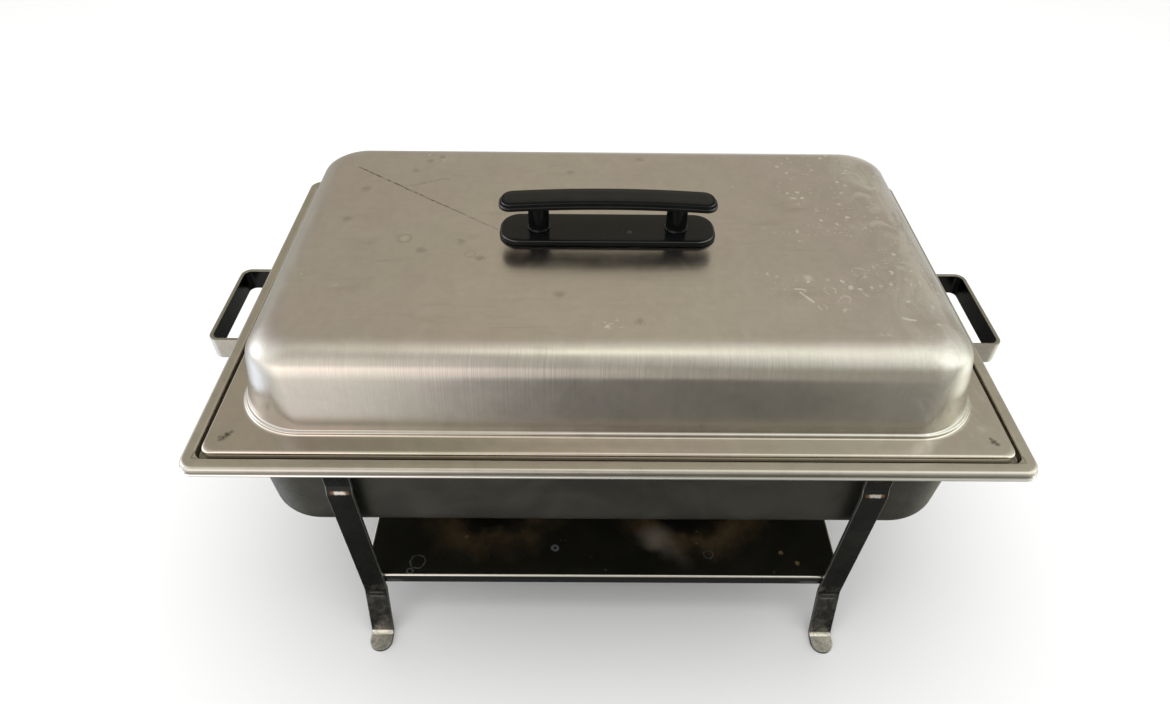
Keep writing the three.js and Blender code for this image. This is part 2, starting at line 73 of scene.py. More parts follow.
PAN_T, FOOD_T, COVER_T, SHELF_T = 1.0, 0.8, 0.9, 1.0  # sheet thicknesses
RIM_HX, RIM_HY, RIM_TOP = PAN_HI
LEDGE_Z = RIM_TOP - 5.5  # ledge inside the water pan's rim
TUB_HX, TUB_HY = 262.0, 155.5
FLOOR_DIP = 0.6  # the water pan's floor sags this much in the middle
TUB_FLOOR = PAN_LO[2] + PAN_T + FLOOR_DIP
FOOD_HX, FOOD_HY, FOOD_TOP = FOOD_HI
FOOD_DEPTH = 65.0
COVER_HX, COVER_HY, DOME_TOP = DOME_HI
FLANGE_Z = RIM_TOP + 1.0
DOME_HX, DOME_HY = 262.0, 152.0
DOME_CROWN = 1.4  # rise of the dome's top from its edge to the middle
STRAP_W, STRAP_T = 19.0, 3.0
STRAP_GAP = 0.3  # between the band and what is fixed to it
SCREW_X = 52.7  # the grip's posts and screws stand at +/- this x
SIDES = (("left", -1), ("right", 1))


# ---------------------------------------------------------------- profile helpers
def unit(vector):
    return vector / np.linalg.norm(vector)


def fillet(points, radii, steps):
    """Rounds the inner corners of a polyline, with `steps` segments to a quarter turn."""
    points = [np.array(point, float) for point in points]
    rounded = [points[0]]
    for before, corner, after, radius in zip(points, points[1:], points[2:], radii):
        back, ahead = unit(before - corner), unit(after - corner)
        half = acos(float(back @ ahead)) / 2
        centre = corner + unit(back + ahead) * radius / sin(half)
        reach = radius / tan(half)
        start, end = (corner + arm * reach - centre for arm in (back, ahead))
        first = atan2(start[1], start[0])
        turn = atan2(end[1], end[0]) - first
        turn = (turn + pi) % (2 * pi) - pi
        count = max(3, int(round(steps * abs(turn) / (pi / 2))))
        for k in range(count + 1):
            angle = first + turn * k / count
            rounded.append(centre + radius * np.array([cos(angle), sin(angle)]))
    rounded.append(points[-1])
    return rounded


def left_normals(points):
    """Left normals, lengthened at corners so that an offset keeps its distance."""
    points = [np.array(point, float) for point in points]
    runs = [unit(after - before) for before, after in zip(points, points[1:])]
    turned = [np.array([-run[1], run[0]]) for run in runs]
    inner = [(a + b) / (1 + a @ b) for a, b in zip(turned, turned[1:])]
    return [turned[0], *inner, turned[-1]]


def refine(points, longest):
    """Splits straight runs so that no step is longer than `longest`."""
    refined = [np.array(points[0], float)]
    for start, end in zip(points[:-1], points[1:]):
        start, end = np.array(start, float), np.array(end, float)
        count = max(1, int(ceil(np.linalg.norm(end - start) / longest)))
        for k in range(1, count + 1):
            refined.append(start + (end - start) * k / count)
    return refined


def look_up(table, x):
    """Reads (x, value) rows with x falling; past either end the value changes as x does."""
    if x >= table[0][0]:
        return table[0][1] + (x - table[0][0])
    for (high_x, high), (low_x, low) in zip(table[:-1], table[1:]):
        if x >= low_x:
            return low + (x - low_x) * (high - low) / (high_x - low_x)
    return table[-1][1] + (x - table[-1][0])


def rounded_ring(half_x, half_y, radius, z, divisions):
    """Points round a rounded rectangle.

    divisions: segments in a corner, extra points along a long side and along a short side.
    """
    corner_steps, long_points, short_points = divisions
    signs = ((1, 1), (-1, 1), (-1, -1), (1, -1))
    centres = [(sx * (half_x - radius), sy * (half_y - radius)) for sx, sy in signs]
    points = []
    for k in range(4):
        x, y = centres[k]
        for i in range(corner_steps + 1):
            angle = (k + i / corner_steps) * pi / 2
            points.append((x + radius * cos(angle), y + radius * sin(angle), z))
        start = points[-1]
        x, y = centres[(k + 1) % 4]
        end = (x + radius * cos(angle), y + radius * sin(angle))
        count = short_points if k % 2 else long_points
        for i in range(1, count + 1):
            f = i / (count + 1)
            x, y = (start[j] + (end[j] - start[j]) * f for j in (0, 1))
            points.append((x, y, z))
    return points


# ---------------------------------------------------------------- mesh assembly
class Shape:
    """Points in mm, faces and point attributes of a mesh being built."""

    def __init__(self):
        self.points, self.faces, self.attributes = [], [], {}

    def add(self, points, **attributes):
        """Adds points; an attribute is one number or a list. Returns the new indices."""
        first = len(self.points)
        self.points.extend(points)
        for name, value in attributes.items():
            values = value if isinstance(value, list) else [value] * len(points)
            self.attributes.setdefault(name, []).extend(map(float, values))
        return list(range(first, first + len(points)))

    def bridge(self, a, b, closed=True):
        for i in range(len(a) if closed else len(a) - 1):
            j = (i + 1) % len(a)
            self.faces.append((a[i], a[j], b[j], b[i]))

    def cap(self, ring):
        self.faces.append(tuple(ring))

    def make(self, name, smooth_angle=38.0):
        mesh = bpy.data.meshes.new(name)
        mesh.from_pydata([tuple(c * MM for c in p) for p in self.points], [], self.faces)
        mesh.validate(verbose=False)
        for key, values in self.attributes.items():
            attribute = mesh.attributes.new(key, "FLOAT", "POINT")
            attribute.data.foreach_set("value", np.array(values, np.float32))
        ob = bpy.data.objects.new(name, mesh)
        bpy.context.scene.collection.objects.link(ob)
        tidy(ob, smooth_angle)
        return ob


def tidy(ob, smooth_angle):
    """Faces out, smooth shaded, with edges sharper than smooth_angle marked."""
    bm = bmesh.new()
    bm.from_mesh(ob.data)
    bmesh.ops.remove_doubles(bm, verts=bm.verts, dist=1e-6)
    bmesh.ops.recalc_face_normals(bm, faces=bm.faces)
    if bm.calc_volume(signed=True) < 0:
        bmesh.ops.reverse_faces(bm, faces=bm.faces)
    limit = radians(smooth_angle)
    for face in bm.faces:
        face.smooth = True
    for edge in bm.edges:
        edge.smooth = len(edge.link_faces) == 2 and edge.calc_face_angle(0.0) < limit
    bm.to_mesh(ob.data)
    bm.free()
    ob.data.update()


def boolean(ob, other, operation, smooth_angle):
    """Applies a boolean with `other`, which is used up."""
    modifier = ob.modifiers.new("cut", "BOOLEAN")
    modifier.operation, modifier.object, modifier.solver = operation, other, "EXACT"
    depsgraph = bpy.context.evaluated_depsgraph_get()
    mesh = bpy.data.meshes.new_from_object(ob.evaluated_get(depsgraph))
    ob.modifiers.clear()
    old = ob.data
    name = old.name
    ob.data = mesh
    bpy.data.meshes.remove(old)
    mesh.name = name
    bpy.data.objects.remove(other)
    tidy(ob, smooth_angle)


def drill(ob, radius, bottom, top, centre, smooth_angle, sides=32):
    """Cuts an upright round hole."""
    profile = [(0, bottom), (radius, bottom), (radius, top), (0, top)]
    boolean(ob, lathe("cutter", profile, sides, centre), "DIFFERENCE", smooth_angle)


def pressed(name, section, thickness, widths, radii, divisions, step, crown=0.0, inner=7):
    """Pressed sheet: a section swept round rounded rectangles and closed in the middle.

    section: (half length, height) from the free edge to the middle, refined to `step`
    widths, radii: (half length, half width) and (half length, corner radius) tables
    crown: rise of the middle over `inner` shrinking rings
    """
    upper = refine(section, step)
    lower = [p + normal * thickness for p, normal in zip(upper, left_normals(upper))]

    def ring(point, station):
        grow = point[0] - station[0]
        half_y = look_up(widths, station[0]) + grow
        radius = max(0.5, look_up(radii, station[0]) + grow)
        return rounded_ring(point[0], half_y, radius, point[1], divisions)

    shape = Shape()
    upper_rows = [shape.add(ring(p, p), face=1.0) for p in upper]
    lower_rows = [shape.add(ring(p, q), face=0.0) for p, q in zip(lower, upper)]
    # the middle: rings that shrink onto the long axis, following the crown
    half_x, height = upper[-1]
    half_y, radius = look_up(widths, half_x), look_up(radii, half_x)
    for rows, drop, face in ((upper_rows, 0.0, 1.0), (lower_rows, -thickness, 0.0)):
        for k in range(1, inner + 1):
            f = k / inner
            shrink = (half_y - 3.0) * f
            corner = min(max(1.2, radius * (1 - 0.9 * f)), half_y - shrink - 0.4)
            z = height + drop + crown * (1 - (1 - f) ** 2)
            points = rounded_ring(half_x - shrink, half_y - shrink, corner, z, divisions)
            rows.append(shape.add(points, face=face))
    for rows in (upper_rows, lower_rows):
        for a, b in zip(rows[:-1], rows[1:]):
            shape.bridge(a, b)
    shape.cap(upper_rows[-1])
    shape.cap(reversed(lower_rows[-1]))
    # rounded free edge
    middle, half = (upper[0] + lower[0]) / 2, (upper[0] - lower[0]) / 2
    outward = unit(upper[0] - upper[1])
    previous = upper_rows[0]
    for k in range(1, 6):
        angle = pi * k / 6
        point = middle + half * cos(angle) + outward * (thickness / 2) * sin(angle) * 0.6
        row = shape.add(ring(point, upper[0]), face=1.0)
        shape.bridge(previous, row)
        previous = row
    shape.bridge(previous, lower_rows[0])
    return shape.make(name)


def lathe(name, profile, sides, centre, smooth_angle=38.0):
    """Turned piece from (radius, z) points.

    A profile starting on the axis also ends there; any other is closed on itself.
    """
    shape = Shape()
    rows = []
    for radius, z in profile:
        angles = [2 * pi * i / sides for i in range(sides)] if radius else [0.0]
        points = [(centre[0] + radius * cos(a), centre[1] + radius * sin(a), z) for a in angles]
        rows.append(shape.add(points))
    pairs = list(zip(rows[:-1], rows[1:]))
    if len(rows[0]) > 1:
        pairs.append((rows[-1], rows[0]))
    for a, b in pairs:
        if len(a) == 1:
            shape.faces += [(a[0], b[(i + 1) % sides], b[i]) for i in range(sides)]
        elif len(b) == 1:
            shape.faces += [(a[i], a[(i + 1) % sides], b[0]) for i in range(sides)]
        else:
            shape.bridge(a, b)
    return shape.make(name, smooth_angle)


class Path:
    """A bent centreline in a plane, read by arc length."""

    def __init__(self, points):
        self.points = np.array(points, float)
        self.normals = np.array(left_normals(points), float)
        runs = np.linalg.norm(np.diff(self.points, axis=0), axis=1)
        self.stations = np.concatenate([[0], np.cumsum(runs)])
        self.length = float(self.stations[-1])

    def at(self, along, left):
        """Point at arc length `along`, moved `left` to the left."""
        along = max(0.0, min(self.length, along))
        i = int(np.searchsorted(self.stations, along, side="right") - 1)
        i = max(0, min(len(self.stations) - 2, i))
        run = max(1e-9, self.stations[i + 1] - self.stations[i])
        f = (along - self.stations[i]) / run
        point = self.points[i] * (1 - f) + self.points[i + 1] * f
        normal = self.normals[i] * (1 - f) + self.normals[i + 1] * f
        return point + normal * left


CROSS = 6  # faces across a bent plate
BORDER = 0.45  # narrow border beside a bent plate's rounded edge


def bent_plate(name, path, width, thickness, place, edge, toe=False):
    """Flat strap bent along a path, with its edges rounded by `edge`.

    place: turns a path point and a distance across the strap into x, y, z
    toe: a half-round far end instead of a square one
    """
    half_width = width / 2
    end = path.length - half_width if toe else path.length
    spans = int(end // 6)
    stops = {round(float(s), 4) for s in path.stations if 0.8 < s < end - 0.8}
    stops |= {round(k * end / spans, 4) for k in range(1, spans)}
    # (along, across, outward along, outward across) down one side
    side = [(0.0, half_width, -1.0, 1.0)]
    last = 0.0
    for stop in sorted(stops):
        if stop - last > 0.35 and end - stop > 0.35:
            side.append((stop, half_width, 0.0, 1.0))
            last = stop
    if toe:
        for k in range(13):
            angle = pi / 2 * k / 12
            x, y = sin(angle), cos(angle)
            side.append((end + half_width * x, half_width * y, x, y))
    else:
        side.append((path.length, half_width, 1.0, 1.0))
    # (inset, height) over the rounded edge, from one broad face to the other
    layers = []
    for k in range(5):
        angle = pi / 2 * k / 4
        layers.append((edge * (1 - sin(angle)), thickness / 2 - edge * (1 - cos(angle))))
    layers += [(inset, -height) for inset, height in reversed(layers)]

    inner = max(0.0, half_width - edge - BORDER)
    across_end = [inner * (1 - 2 * k / CROSS) for k in range(CROSS + 1)]
    mirrored = [(s, -a, out_s, -out_a) for s, a, out_s, out_a in reversed(side)]
    if toe:
        outline = side + mirrored[1:]
    else:
        outline = side + [(path.length, a, 1.0, 0.0) for a in across_end] + mirrored
    outline += [(0.0, a, -1.0, 0.0) for a in reversed(across_end)]
    stations = [point[0] for point in outline]
    count = len(side)
    shape = Shape()
    rings = []
    for i, (inset, height) in enumerate(layers):
        points = [
            place(path.at(s - out_s * inset, height), a - out_a * inset)
            for s, a, out_s, out_a in outline
        ]
        # weight of the highlight painted along the rounded edges
        painted_sheen = 1.0 if 0 < i < len(layers) - 1 else 0.55
        face = 1.0 if height > 0 else 0.0
        rings.append(shape.add(points, edge=painted_sheen, along=stations, face=face))
    for a, b in zip(rings[:-1], rings[1:]):
        shape.bridge(a, b)
    # the two broad faces, row by row
    for (inset, height), ring in ((layers[0], rings[0]), (layers[-1], rings[-1])):
        face = 1.0 if height > 0 else 0.0
        grid = []
        for i, (s, a, out_s, out_a) in enumerate(side):
            if toe and i == count - 1:
                grid.append([ring[i]])
                continue
            if i == 0:
                row = ring[: -CROSS - 2 : -1]
            elif i == count - 1:
                row = ring[count : count + CROSS + 1]
            else:
                inner = max(0.0, a - out_a * inset - BORDER)
                centre = path.at(s - out_s * inset, height)
                points = [place(centre, inner * (1 - 2 * k / CROSS)) for k in range(CROSS + 1)]
                row = shape.add(points, edge=0.0, along=s, face=face)
            far = 2 * (count - 1) - i if toe else 2 * count + CROSS - i
            grid.append([ring[i]] + row + [ring[far]])
        for a, b in zip(grid[:-1], grid[1:]):
            for k in range(len(a) - 1):
                if len(b) == 1:
                    shape.faces.append((a[k], a[k + 1], b[0]))
                else:
                    shape.faces.append((a[k], a[k + 1], b[k + 1], b[k]))
    return shape.make(name, 32.0)


def attach(ob, body, node, material):
    ob.data.materials.clear()
    ob.data.materials.append(material)
    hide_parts(node)
    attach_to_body(ob, body)


# ---------------------------------------------------------------- shader helpers
def plug(tree, socket, value):
    """Links a Signal to a socket, or sets the socket's value."""
    if isinstance(value, Signal):
        tree.links.new(value.socket, socket)
        return
    if socket.type == "RGBA" and len(value) == 3:
        value = (*value, 1.0)
    socket.default_value = value


def node(tree, kind, inputs=None, output=0, **settings):
    """Adds a shader node and returns one of its outputs as a Signal."""
    new = tree.nodes.new("ShaderNode" + kind)
    for name, value in settings.items():
        setattr(new, name, value)
    for key, value in (inputs or {}).items():
        plug(tree, new.inputs[key], value)
    return Signal(tree, new.outputs[output])


def calc(tree, operation, *operands):
    return node(tree, "Math", dict(enumerate(operands)), operation=operation)


def vector_math(tree, operation, *vectors):
    return node(tree, "VectorMath", dict(enumerate(vectors)), operation=operation)


class Signal:
    """A shader output that takes arithmetic; each step adds a node."""

    def __init__(self, tree, socket):
        self.tree, self.socket = tree, socket

    def __add__(self, other):
        return calc(self.tree, "ADD", self, other)

    def __radd__(self, other):
        return calc(self.tree, "ADD", other, self)

    def __sub__(self, other):
        return calc(self.tree, "SUBTRACT", self, other)

    def __rsub__(self, other):
        return calc(self.tree, "SUBTRACT", other, self)

    def __mul__(self, other):
        return calc(self.tree, "MULTIPLY", self, other)

    def __truediv__(self, other):
        return calc(self.tree, "DIVIDE", self, other)

    def __abs__(self):
        return calc(self.tree, "ABSOLUTE", self)

    def split(self):
        separate = self.tree.nodes.new("ShaderNodeSeparateXYZ")
        plug(self.tree, separate.inputs[0], self)
        return [Signal(self.tree, socket) for socket in separate.outputs]

    def ramp(self, start, end, low, high, kind="SMOOTHSTEP"):
        """Goes smoothly from low to high as the value goes from start to end."""
        inputs = dict(enumerate((self, start, end, low, high)))
        return node(self.tree, "MapRange", inputs, clamp=True, interpolation_type=kind)

    def rise(self, start, end):
        return self.ramp(start, end, 0.0, 1.0)

    def fall(self, start, end):
        return self.ramp(start, end, 1.0, 0.0)

    def linear(self, start, end, low, high):
        return self.ramp(start, end, low, high, "LINEAR")

    def between(self, low, high):
        """The number `low` where this is 0, `high` where it is 1."""
        inputs = {0: self, 2: low, 3: high}
        return node(self.tree, "Mix", inputs, data_type="FLOAT", clamp_factor=True)

    def colours(self, low, high):
        """The colour `low` where this is 0, `high` where it is 1."""
        return mix_colours(self.tree, self, low, high, "MIX")

    def times(self, colour):
        return mix_colours(self.tree, 1.0, self, colour, "MULTIPLY")

    def shade(self, factor):
        """This colour times a number."""
        return self.times(node(self.tree, "CombineColor", {0: factor, 1: factor, 2: factor}))

    def coat(self, mask, colour):
        """This colour, covered with another where mask is 1."""
        return mask.colours(self, colour)

    def tint(self, mask, colour):
        """This colour, multiplied by another where mask is 1."""
        return self.coat(mask, self.times(colour))


def mix_colours(tree, factor, low, high, blend):
    inputs = {0: factor, 6: low, 7: high}
    settings = {"data_type": "RGBA", "blend_type": blend, "clamp_factor": True}
    return node(tree, "Mix", inputs, output=2, **settings)


def largest(first, *others):
    for other in others:
        first = calc(first.tree, "MAXIMUM", first, other)
    return first


def length(x, y):
    return calc(x.tree, "SQRT", x * x + y * y)


class Shader:
    """A procedural material on a Principled shader, in object coordinates (m)."""

    def __init__(self, name):
        self.material = bpy.data.materials.new(name)
        self.material.use_nodes = True
        self.tree = self.material.node_tree
        self.tree.nodes.clear()
        self.output = self.tree.nodes.new("ShaderNodeOutputMaterial")
        self.coordinates = self.tree.nodes.new("ShaderNodeTexCoord")
        self.position = Signal(self.tree, self.coordinates.outputs["Object"])

    @cached_property
    def axes(self):
        """x, y, z of the surface point."""
        return self.position.split()

    @cached_property
    def facing(self):
        """x, y, z of the surface normal."""
        return Signal(self.tree, self.coordinates.outputs["Normal"]).split()

    def vector(self, x, y, z):
        return node(self.tree, "CombineXYZ", {0: x, 1: y, 2: z})

    def stretched(self, scale, offset, base=None):
        scale = (scale,) * 3 if np.isscalar(scale) else scale
        scaled = vector_math(self.tree, "MULTIPLY", base or self.position, scale)
        return vector_math(self.tree, "ADD", scaled, offset)

    def noise(self, scale=None, offset=(0, 0, 0), vector=None, detail=2, rough=0.5, distort=0.0):
        """Cloud noise in cycles per metre along each axis, or at a given vector."""
        return node(
            self.tree,
            "TexNoise",
            {
                "Vector": vector or self.stretched(scale, offset),
                "Scale": 1.0,
                "Detail": detail,
                "Roughness": rough,
                "Distortion": distort,
            },
        )

    def cells(self, scale, offset=(0, 0, 0), base=None):
        """Distance to the nearest of scattered points."""
        vector = self.stretched(scale, offset, base)
        return node(self.tree, "TexVoronoi", {"Vector": vector, "Scale": 1.0})

    def attribute(self, name):
        return node(self.tree, "Attribute", output="Fac", attribute_name=name)

    def relief(self, *layers):
        """Stacked bumps, each (height, strength, distance)."""
        normal = {}
        for height, strength, distance in layers:
            inputs = {"Strength": strength, "Distance": distance, "Height": height, **normal}
            normal = {"Normal": node(self.tree, "Bump", inputs)}
        return normal["Normal"]

    def segment(self, start, end, width, wobble):
        """1 on a thin line between two x, y points, which wanders by wobble."""
        (x0, y0), (x1, y1) = start, end
        run_x, run_y = x1 - x0, y1 - y0
        x, y = self.axes[0] - x0 + wobble, self.axes[1] - y0 - wobble
        along = (x * run_x + y * run_y) / (run_x * run_x + run_y * run_y)
        along = calc(self.tree, "MINIMUM", largest(along, 0.0), 1.0)
        distance = length(x - along * run_x, y - along * run_y)
        return distance.fall(width * 0.4, width)

    def distance(self, centre, edge, ragged):
        x, y, _ = self.axes
        return length(x - centre[0], y - centre[1]) + (edge - 0.5) * ragged

    def spot(self, edge, centre, radius, soft, ragged):
        """1 in a round spot; `edge` is the noise that roughens its outline by `ragged`."""
        return self.distance(centre, edge, ragged).fall(radius * (1 - soft), radius)

    def circle(self, edge, centre, radius, width, ragged):
        """1 on a thin circle, roughened like a spot."""
        off_line = abs(self.distance(centre, edge, ragged) - radius)
        return off_line.fall(width * 0.3, width)

    def principled(self, **inputs):
        named = {name.replace("_", " "): value for name, value in inputs.items()}
        return node(self.tree, "BsdfPrincipled", named)

    def finish(self, **inputs):
        plug(self.tree, self.output.inputs[0], self.principled(**inputs))
        return self.material


# ---------------------------------------------------------------- cover steel
def cover_scratches(m, wobble, top):
    """A long scratch in two broken lengths across the top, and a faint short one."""
    broken = m.noise((260, 260, 0)).rise(0.42, 0.55)
    broken = (0.22 + broken * 0.78) * m.axes[0].ramp(-0.150, -0.086, 1.0, 0.35)
    rear = m.segment((-0.2120, 0.0965), (-0.1415, 0.0430), 0.00105, wobble)
    front = m.segment((-0.1405, 0.0425), (-0.0850, 0.0020), 0.00100, wobble)
    faint = m.segment((-0.1680, 0.0640), (-0.1330, 0.0790), 0.0012, wobble * 2.0) * 0.20
    return largest(largest(rear, front) * broken, faint) * top


# centre and radius of the dark spots on the cover's top, after the first
DARK_SPOTS = (
    ((-0.1400, -0.0255), 0.0060), ((-0.1992, 0.0620), 0.0070), ((-0.1528, 0.1073), 0.0050),
    ((-0.1620, 0.0905), 0.0045), ((-0.0950, -0.0353), 0.0055), ((-0.1120, -0.0140), 0.0050),
    ((-0.1430, 0.1150), 0.0045), ((0.0310, 0.1136), 0.0055), ((-0.0300, 0.0900), 0.0045),
    ((0.0200, -0.1040), 0.0050), ((-0.0350, -0.0760), 0.0060),
)


def cover_spots(m, edge):
    darks = m.spot(edge, (-0.2052, 0.0170), 0.0055, soft=0.9, ragged=0.004)
    for centre, radius in DARK_SPOTS:
        darks = largest(darks, m.spot(edge, centre, radius, soft=0.95, ragged=0.008))
    return darks


# centre and radius of the scuffs on the flange's front corners
FLANGE_SCUFFS = (
    ((0.2650, -0.1545), 0.0034), ((0.2664, -0.1568), 0.0028), ((0.2640, -0.1520), 0.0024),
    ((-0.2645, -0.1550), 0.0042), ((-0.2625, -0.1520), 0.0034),
)


def flange_scuffs(m, edge, wobble):
    scuff = largest(
        m.segment((-0.2665, -0.1575), (-0.2605, -0.1490), 0.0016, wobble * 0.7),
        m.segment((-0.2680, -0.1545), (-0.2635, -0.1525), 0.0013, wobble * 0.7),
    )
    scuff = scuff * 0.6
    for centre, radius in FLANGE_SCUFFS:
        scuff = largest(scuff, m.spot(edge, centre, radius, soft=0.9, ragged=0.0040))
    on_flange = m.axes[2].fall(0.2452, 0.2460)
    return scuff * on_flange * m.noise((420, 420, 0), rough=0.6).rise(0.28, 0.52)


def dried_drops(m, edge):
    """Drops and their dry outlines, thick on the right-hand end and thin elsewhere."""
    warp_y = m.noise((190, 190, 0), (5, 3, 0))
    warp = m.vector((edge - 0.5) * 0.0055, (warp_y - 0.5) * 0.0075, 0.0)
    warped = vector_math(m.tree, "ADD", m.position, warp)
    more_right = m.axes[0].linear(0.05, 0.240, -0.17, 0.17)
    patches = (m.noise((24, 24, 12), (2, 8, 1), rough=0.6) + more_right).rise(0.50, 0.60)
    large = m.cells((118, 96, 60), base=warped).fall(0.10, 0.27) * patches
    small = m.cells((210, 170, 60), (3, 6, 0), warped).fall(0.08, 0.24) * patches * 0.6
    outline = abs(m.cells((62, 80, 60), (4, 4, 4), warped) - 0.26).fall(0.02, 0.07)
    return largest(large, small, outline * patches * 0.12)


# thin circles right of the grip: centre, radius, strength
CURLED_EDGES = (
    ((0.1570, -0.0700), 0.0042, 0.8), ((0.1660, -0.0790), 0.0034, 0.7),
    ((0.1830, -0.0480), 0.0050, 0.6), ((0.1480, -0.0880), 0.0030, 0.6),
)


def front_right_marks(m, edge, wobble):
    """Short pale lines, a spot and curled dry edges on the front right of the top."""
    marks = largest(
        m.segment((0.1330, -0.0690), (0.1395, -0.0700), 0.0012, wobble),
        m.segment((0.1360, -0.0730), (0.1425, -0.0830), 0.0013, wobble),
        m.segment((0.2010, -0.0990), (0.2080, -0.1010), 0.0016, wobble),
        m.spot(edge, (0.1440, -0.0560), 0.0050, soft=0.9, ragged=0.006) * 0.7,
    )
    for centre, radius, strength in CURLED_EDGES:
        curl = m.circle(edge, centre, radius, width=0.0009, ragged=0.004)
        marks = largest(marks, curl * edge.rise(0.42, 0.56) * strength)
    return marks


def cover_residue(m, edge, wobble, top):
    """All the whitish residue on the cover."""
    x, y, z = m.axes
    smear = m.noise((34, 16, 14), (8, 3, 3), detail=5, rough=0.7, distort=1.0).rise(0.46, 0.70)
    smear = smear * x.rise(0.170, 0.236)
    # a wipe along the right-hand shoulder
    wipe = m.noise(vector=m.vector(x * 60, y * 14, z * 30), detail=4, rough=0.65, distort=1.2)
    wipe = wipe.rise(0.44, 0.60) * x.rise(0.212, 0.232) * z.rise(0.272, 0.290)
    wipe = wipe * abs(y + 0.005).fall(0.075, 0.125)
    haze = m.noise((46, 30, 20), (2, 6, 3), detail=4, rough=0.65, distort=0.8).rise(0.46, 0.62)
    haze = haze * x.rise(0.185, 0.222)
    haze = haze * x.ramp(0.240, 0.252, 1.0, 0.2) * (top * y.rise(-0.110, -0.070))
    on_top = largest(
        dried_drops(m, edge) * y.rise(-0.122, -0.108), front_right_marks(m, edge, wobble)
    )
    on_top = on_top * z.rise(0.2990, 0.3035)
    return largest(on_top, largest(smear * 0.70, wipe * 0.72), haze * 0.60)


def cover_steel():
    m = Shader("cover_steel")
    x, y, z = m.axes
    facing_x, facing_y, facing_z = m.facing
    broad = m.noise((9, 11, 11), detail=3, distort=0.3)
    smudge = m.noise((38, 26, 30), (3, 1, 7), detail=5, rough=0.62, distort=0.8)
    fine = m.noise((160, 130, 140), detail=4, rough=0.6)
    # grain of the satin finish: fine lines up the walls, and along x on the top
    across = m.noise(vector=m.vector(x * 850, y * 9, z * 9), rough=0.7)
    along = m.noise(vector=m.vector(x * 9, y * 850, z * 9), rough=0.7)
    end_wall = (abs(facing_x) - abs(facing_y)).rise(-0.02, 0.02)
    grain = facing_z.rise(0.955, 0.995).between(end_wall.between(across, along), along)
    # heights: shoulder, foot and top of the dome
    shoulder = z.rise(0.284, 0.292) * z.fall(0.3035, 0.3066)
    shoulder = shoulder * abs(x - 0.015).ramp(0.08, 0.17, 1.0, 0.35)
    foot = z.fall(0.2475, 0.2510)
    top = z.rise(0.290, 0.298)
    wobble = (m.noise((70, 70, 0), detail=3, rough=0.6) - 0.5) * 0.0065
    edge = m.noise((240, 240, 0))

    scratch = cover_scratches(m, wobble, top)
    ring_centre = (-0.1552, -0.0104)
    rings = largest(
        m.circle(edge, ring_centre, 0.0052, width=0.0016, ragged=0.0022),
        m.circle(edge, (-0.1030, -0.0300), 0.0040, width=0.0014, ragged=0.003) * 0.7,
        m.circle(edge, (0.1885, -0.0620), 0.0100, width=0.0012, ragged=0.004) * 0.5,
    )
    ring_fill = m.spot(edge, ring_centre, 0.0035, soft=0.7, ragged=0.002)
    # soft drag marks in patches, and long streaks
    drag = m.noise((26, 90, 30), (9, 2, 0), distort=0.5).rise(0.50, 0.74)
    drag = drag * m.noise((14, 18, 10), (5, 5, 5)).rise(0.50, 0.66)
    streak = m.noise((22, 420, 40), (1, 7, 0)).rise(0.60, 0.74)
    streak = streak * m.noise((9, 14, 9), (8, 1, 4)).rise(0.48, 0.60)
    residue = cover_residue(m, edge, wobble, top)

    base = broad.rise(0.35, 0.65).colours((0.556, 0.520, 0.486), (0.546, 0.530, 0.478))
    base = base.shade(smudge.linear(0.25, 0.75, 0.95, 1.05))
    base = base.shade(fine.linear(0.3, 0.7, 0.975, 1.02))
    base = base.shade(grain.linear(0.25, 0.75, 0.98, 1.02))
    # painted light: upward-facing faces of the top are tinted slightly darker and pinker, for the light
    # they reflect
    base = base.tint(facing_z.rise(0.90, 0.99) * top, (0.958, 0.930, 0.960))
    # stronger lines round the shoulder
    base = base.shade(1.0 + grain.linear(0.28, 0.72, -1.0, 1.0) * shoulder * 0.028)
    # marks over the metal: mask, strength, colour
    for mask, strength, colour in (
        (residue, 0.60, (0.90, 0.89, 0.87)),
        (drag, 0.20, (0.30, 0.27, 0.24)),
        (streak, 0.10, (0.30, 0.27, 0.24)),
        (rings, 0.26, (0.26, 0.24, 0.20)),
        (ring_fill, 0.16, (0.86, 0.83, 0.76)),
        (cover_spots(m, edge) * top, 0.42, (0.24, 0.21, 0.18)),
        (scratch, 0.86, (0.07, 0.06, 0.05)),
        (flange_scuffs(m, edge, wobble), 0.86, (0.085, 0.078, 0.075)),
    ):
        base = base.coat(mask * strength, colour)
    # painted light and shade: the flange and the lip below it are darkened and warmed, their upright
    # faces are painted lighter again, and the lip's lowest part, down in the groove, is painted dark as
    # shade
    low = z.fall(0.2445, 0.2452)
    base = base.tint(low, (0.83, 0.80, 0.755))
    base = base.tint(low * facing_z.fall(0.80, 0.97), (1.58, 1.58, 1.60))
    base = base.coat(z.fall(0.2392, 0.2412) * 0.70, (0.20, 0.18, 0.14))
    rough = smudge.linear(0.3, 0.7, 0.185, 0.245) + residue * 0.12
    rough = rough + broad.linear(0.3, 0.7, -0.02, 0.02) - foot * 0.06
    normal = m.relief(
        (grain, 0.10, 0.0004),
        (grain * shoulder, 0.05, 0.0004),
        (m.noise(16), 0.12, 0.0012),
        (0.0 - scratch, 0.5, 0.0003),
    )
    return m.finish(Base_Color=base, Metallic=1.0, Roughness=rough, Normal=normal)


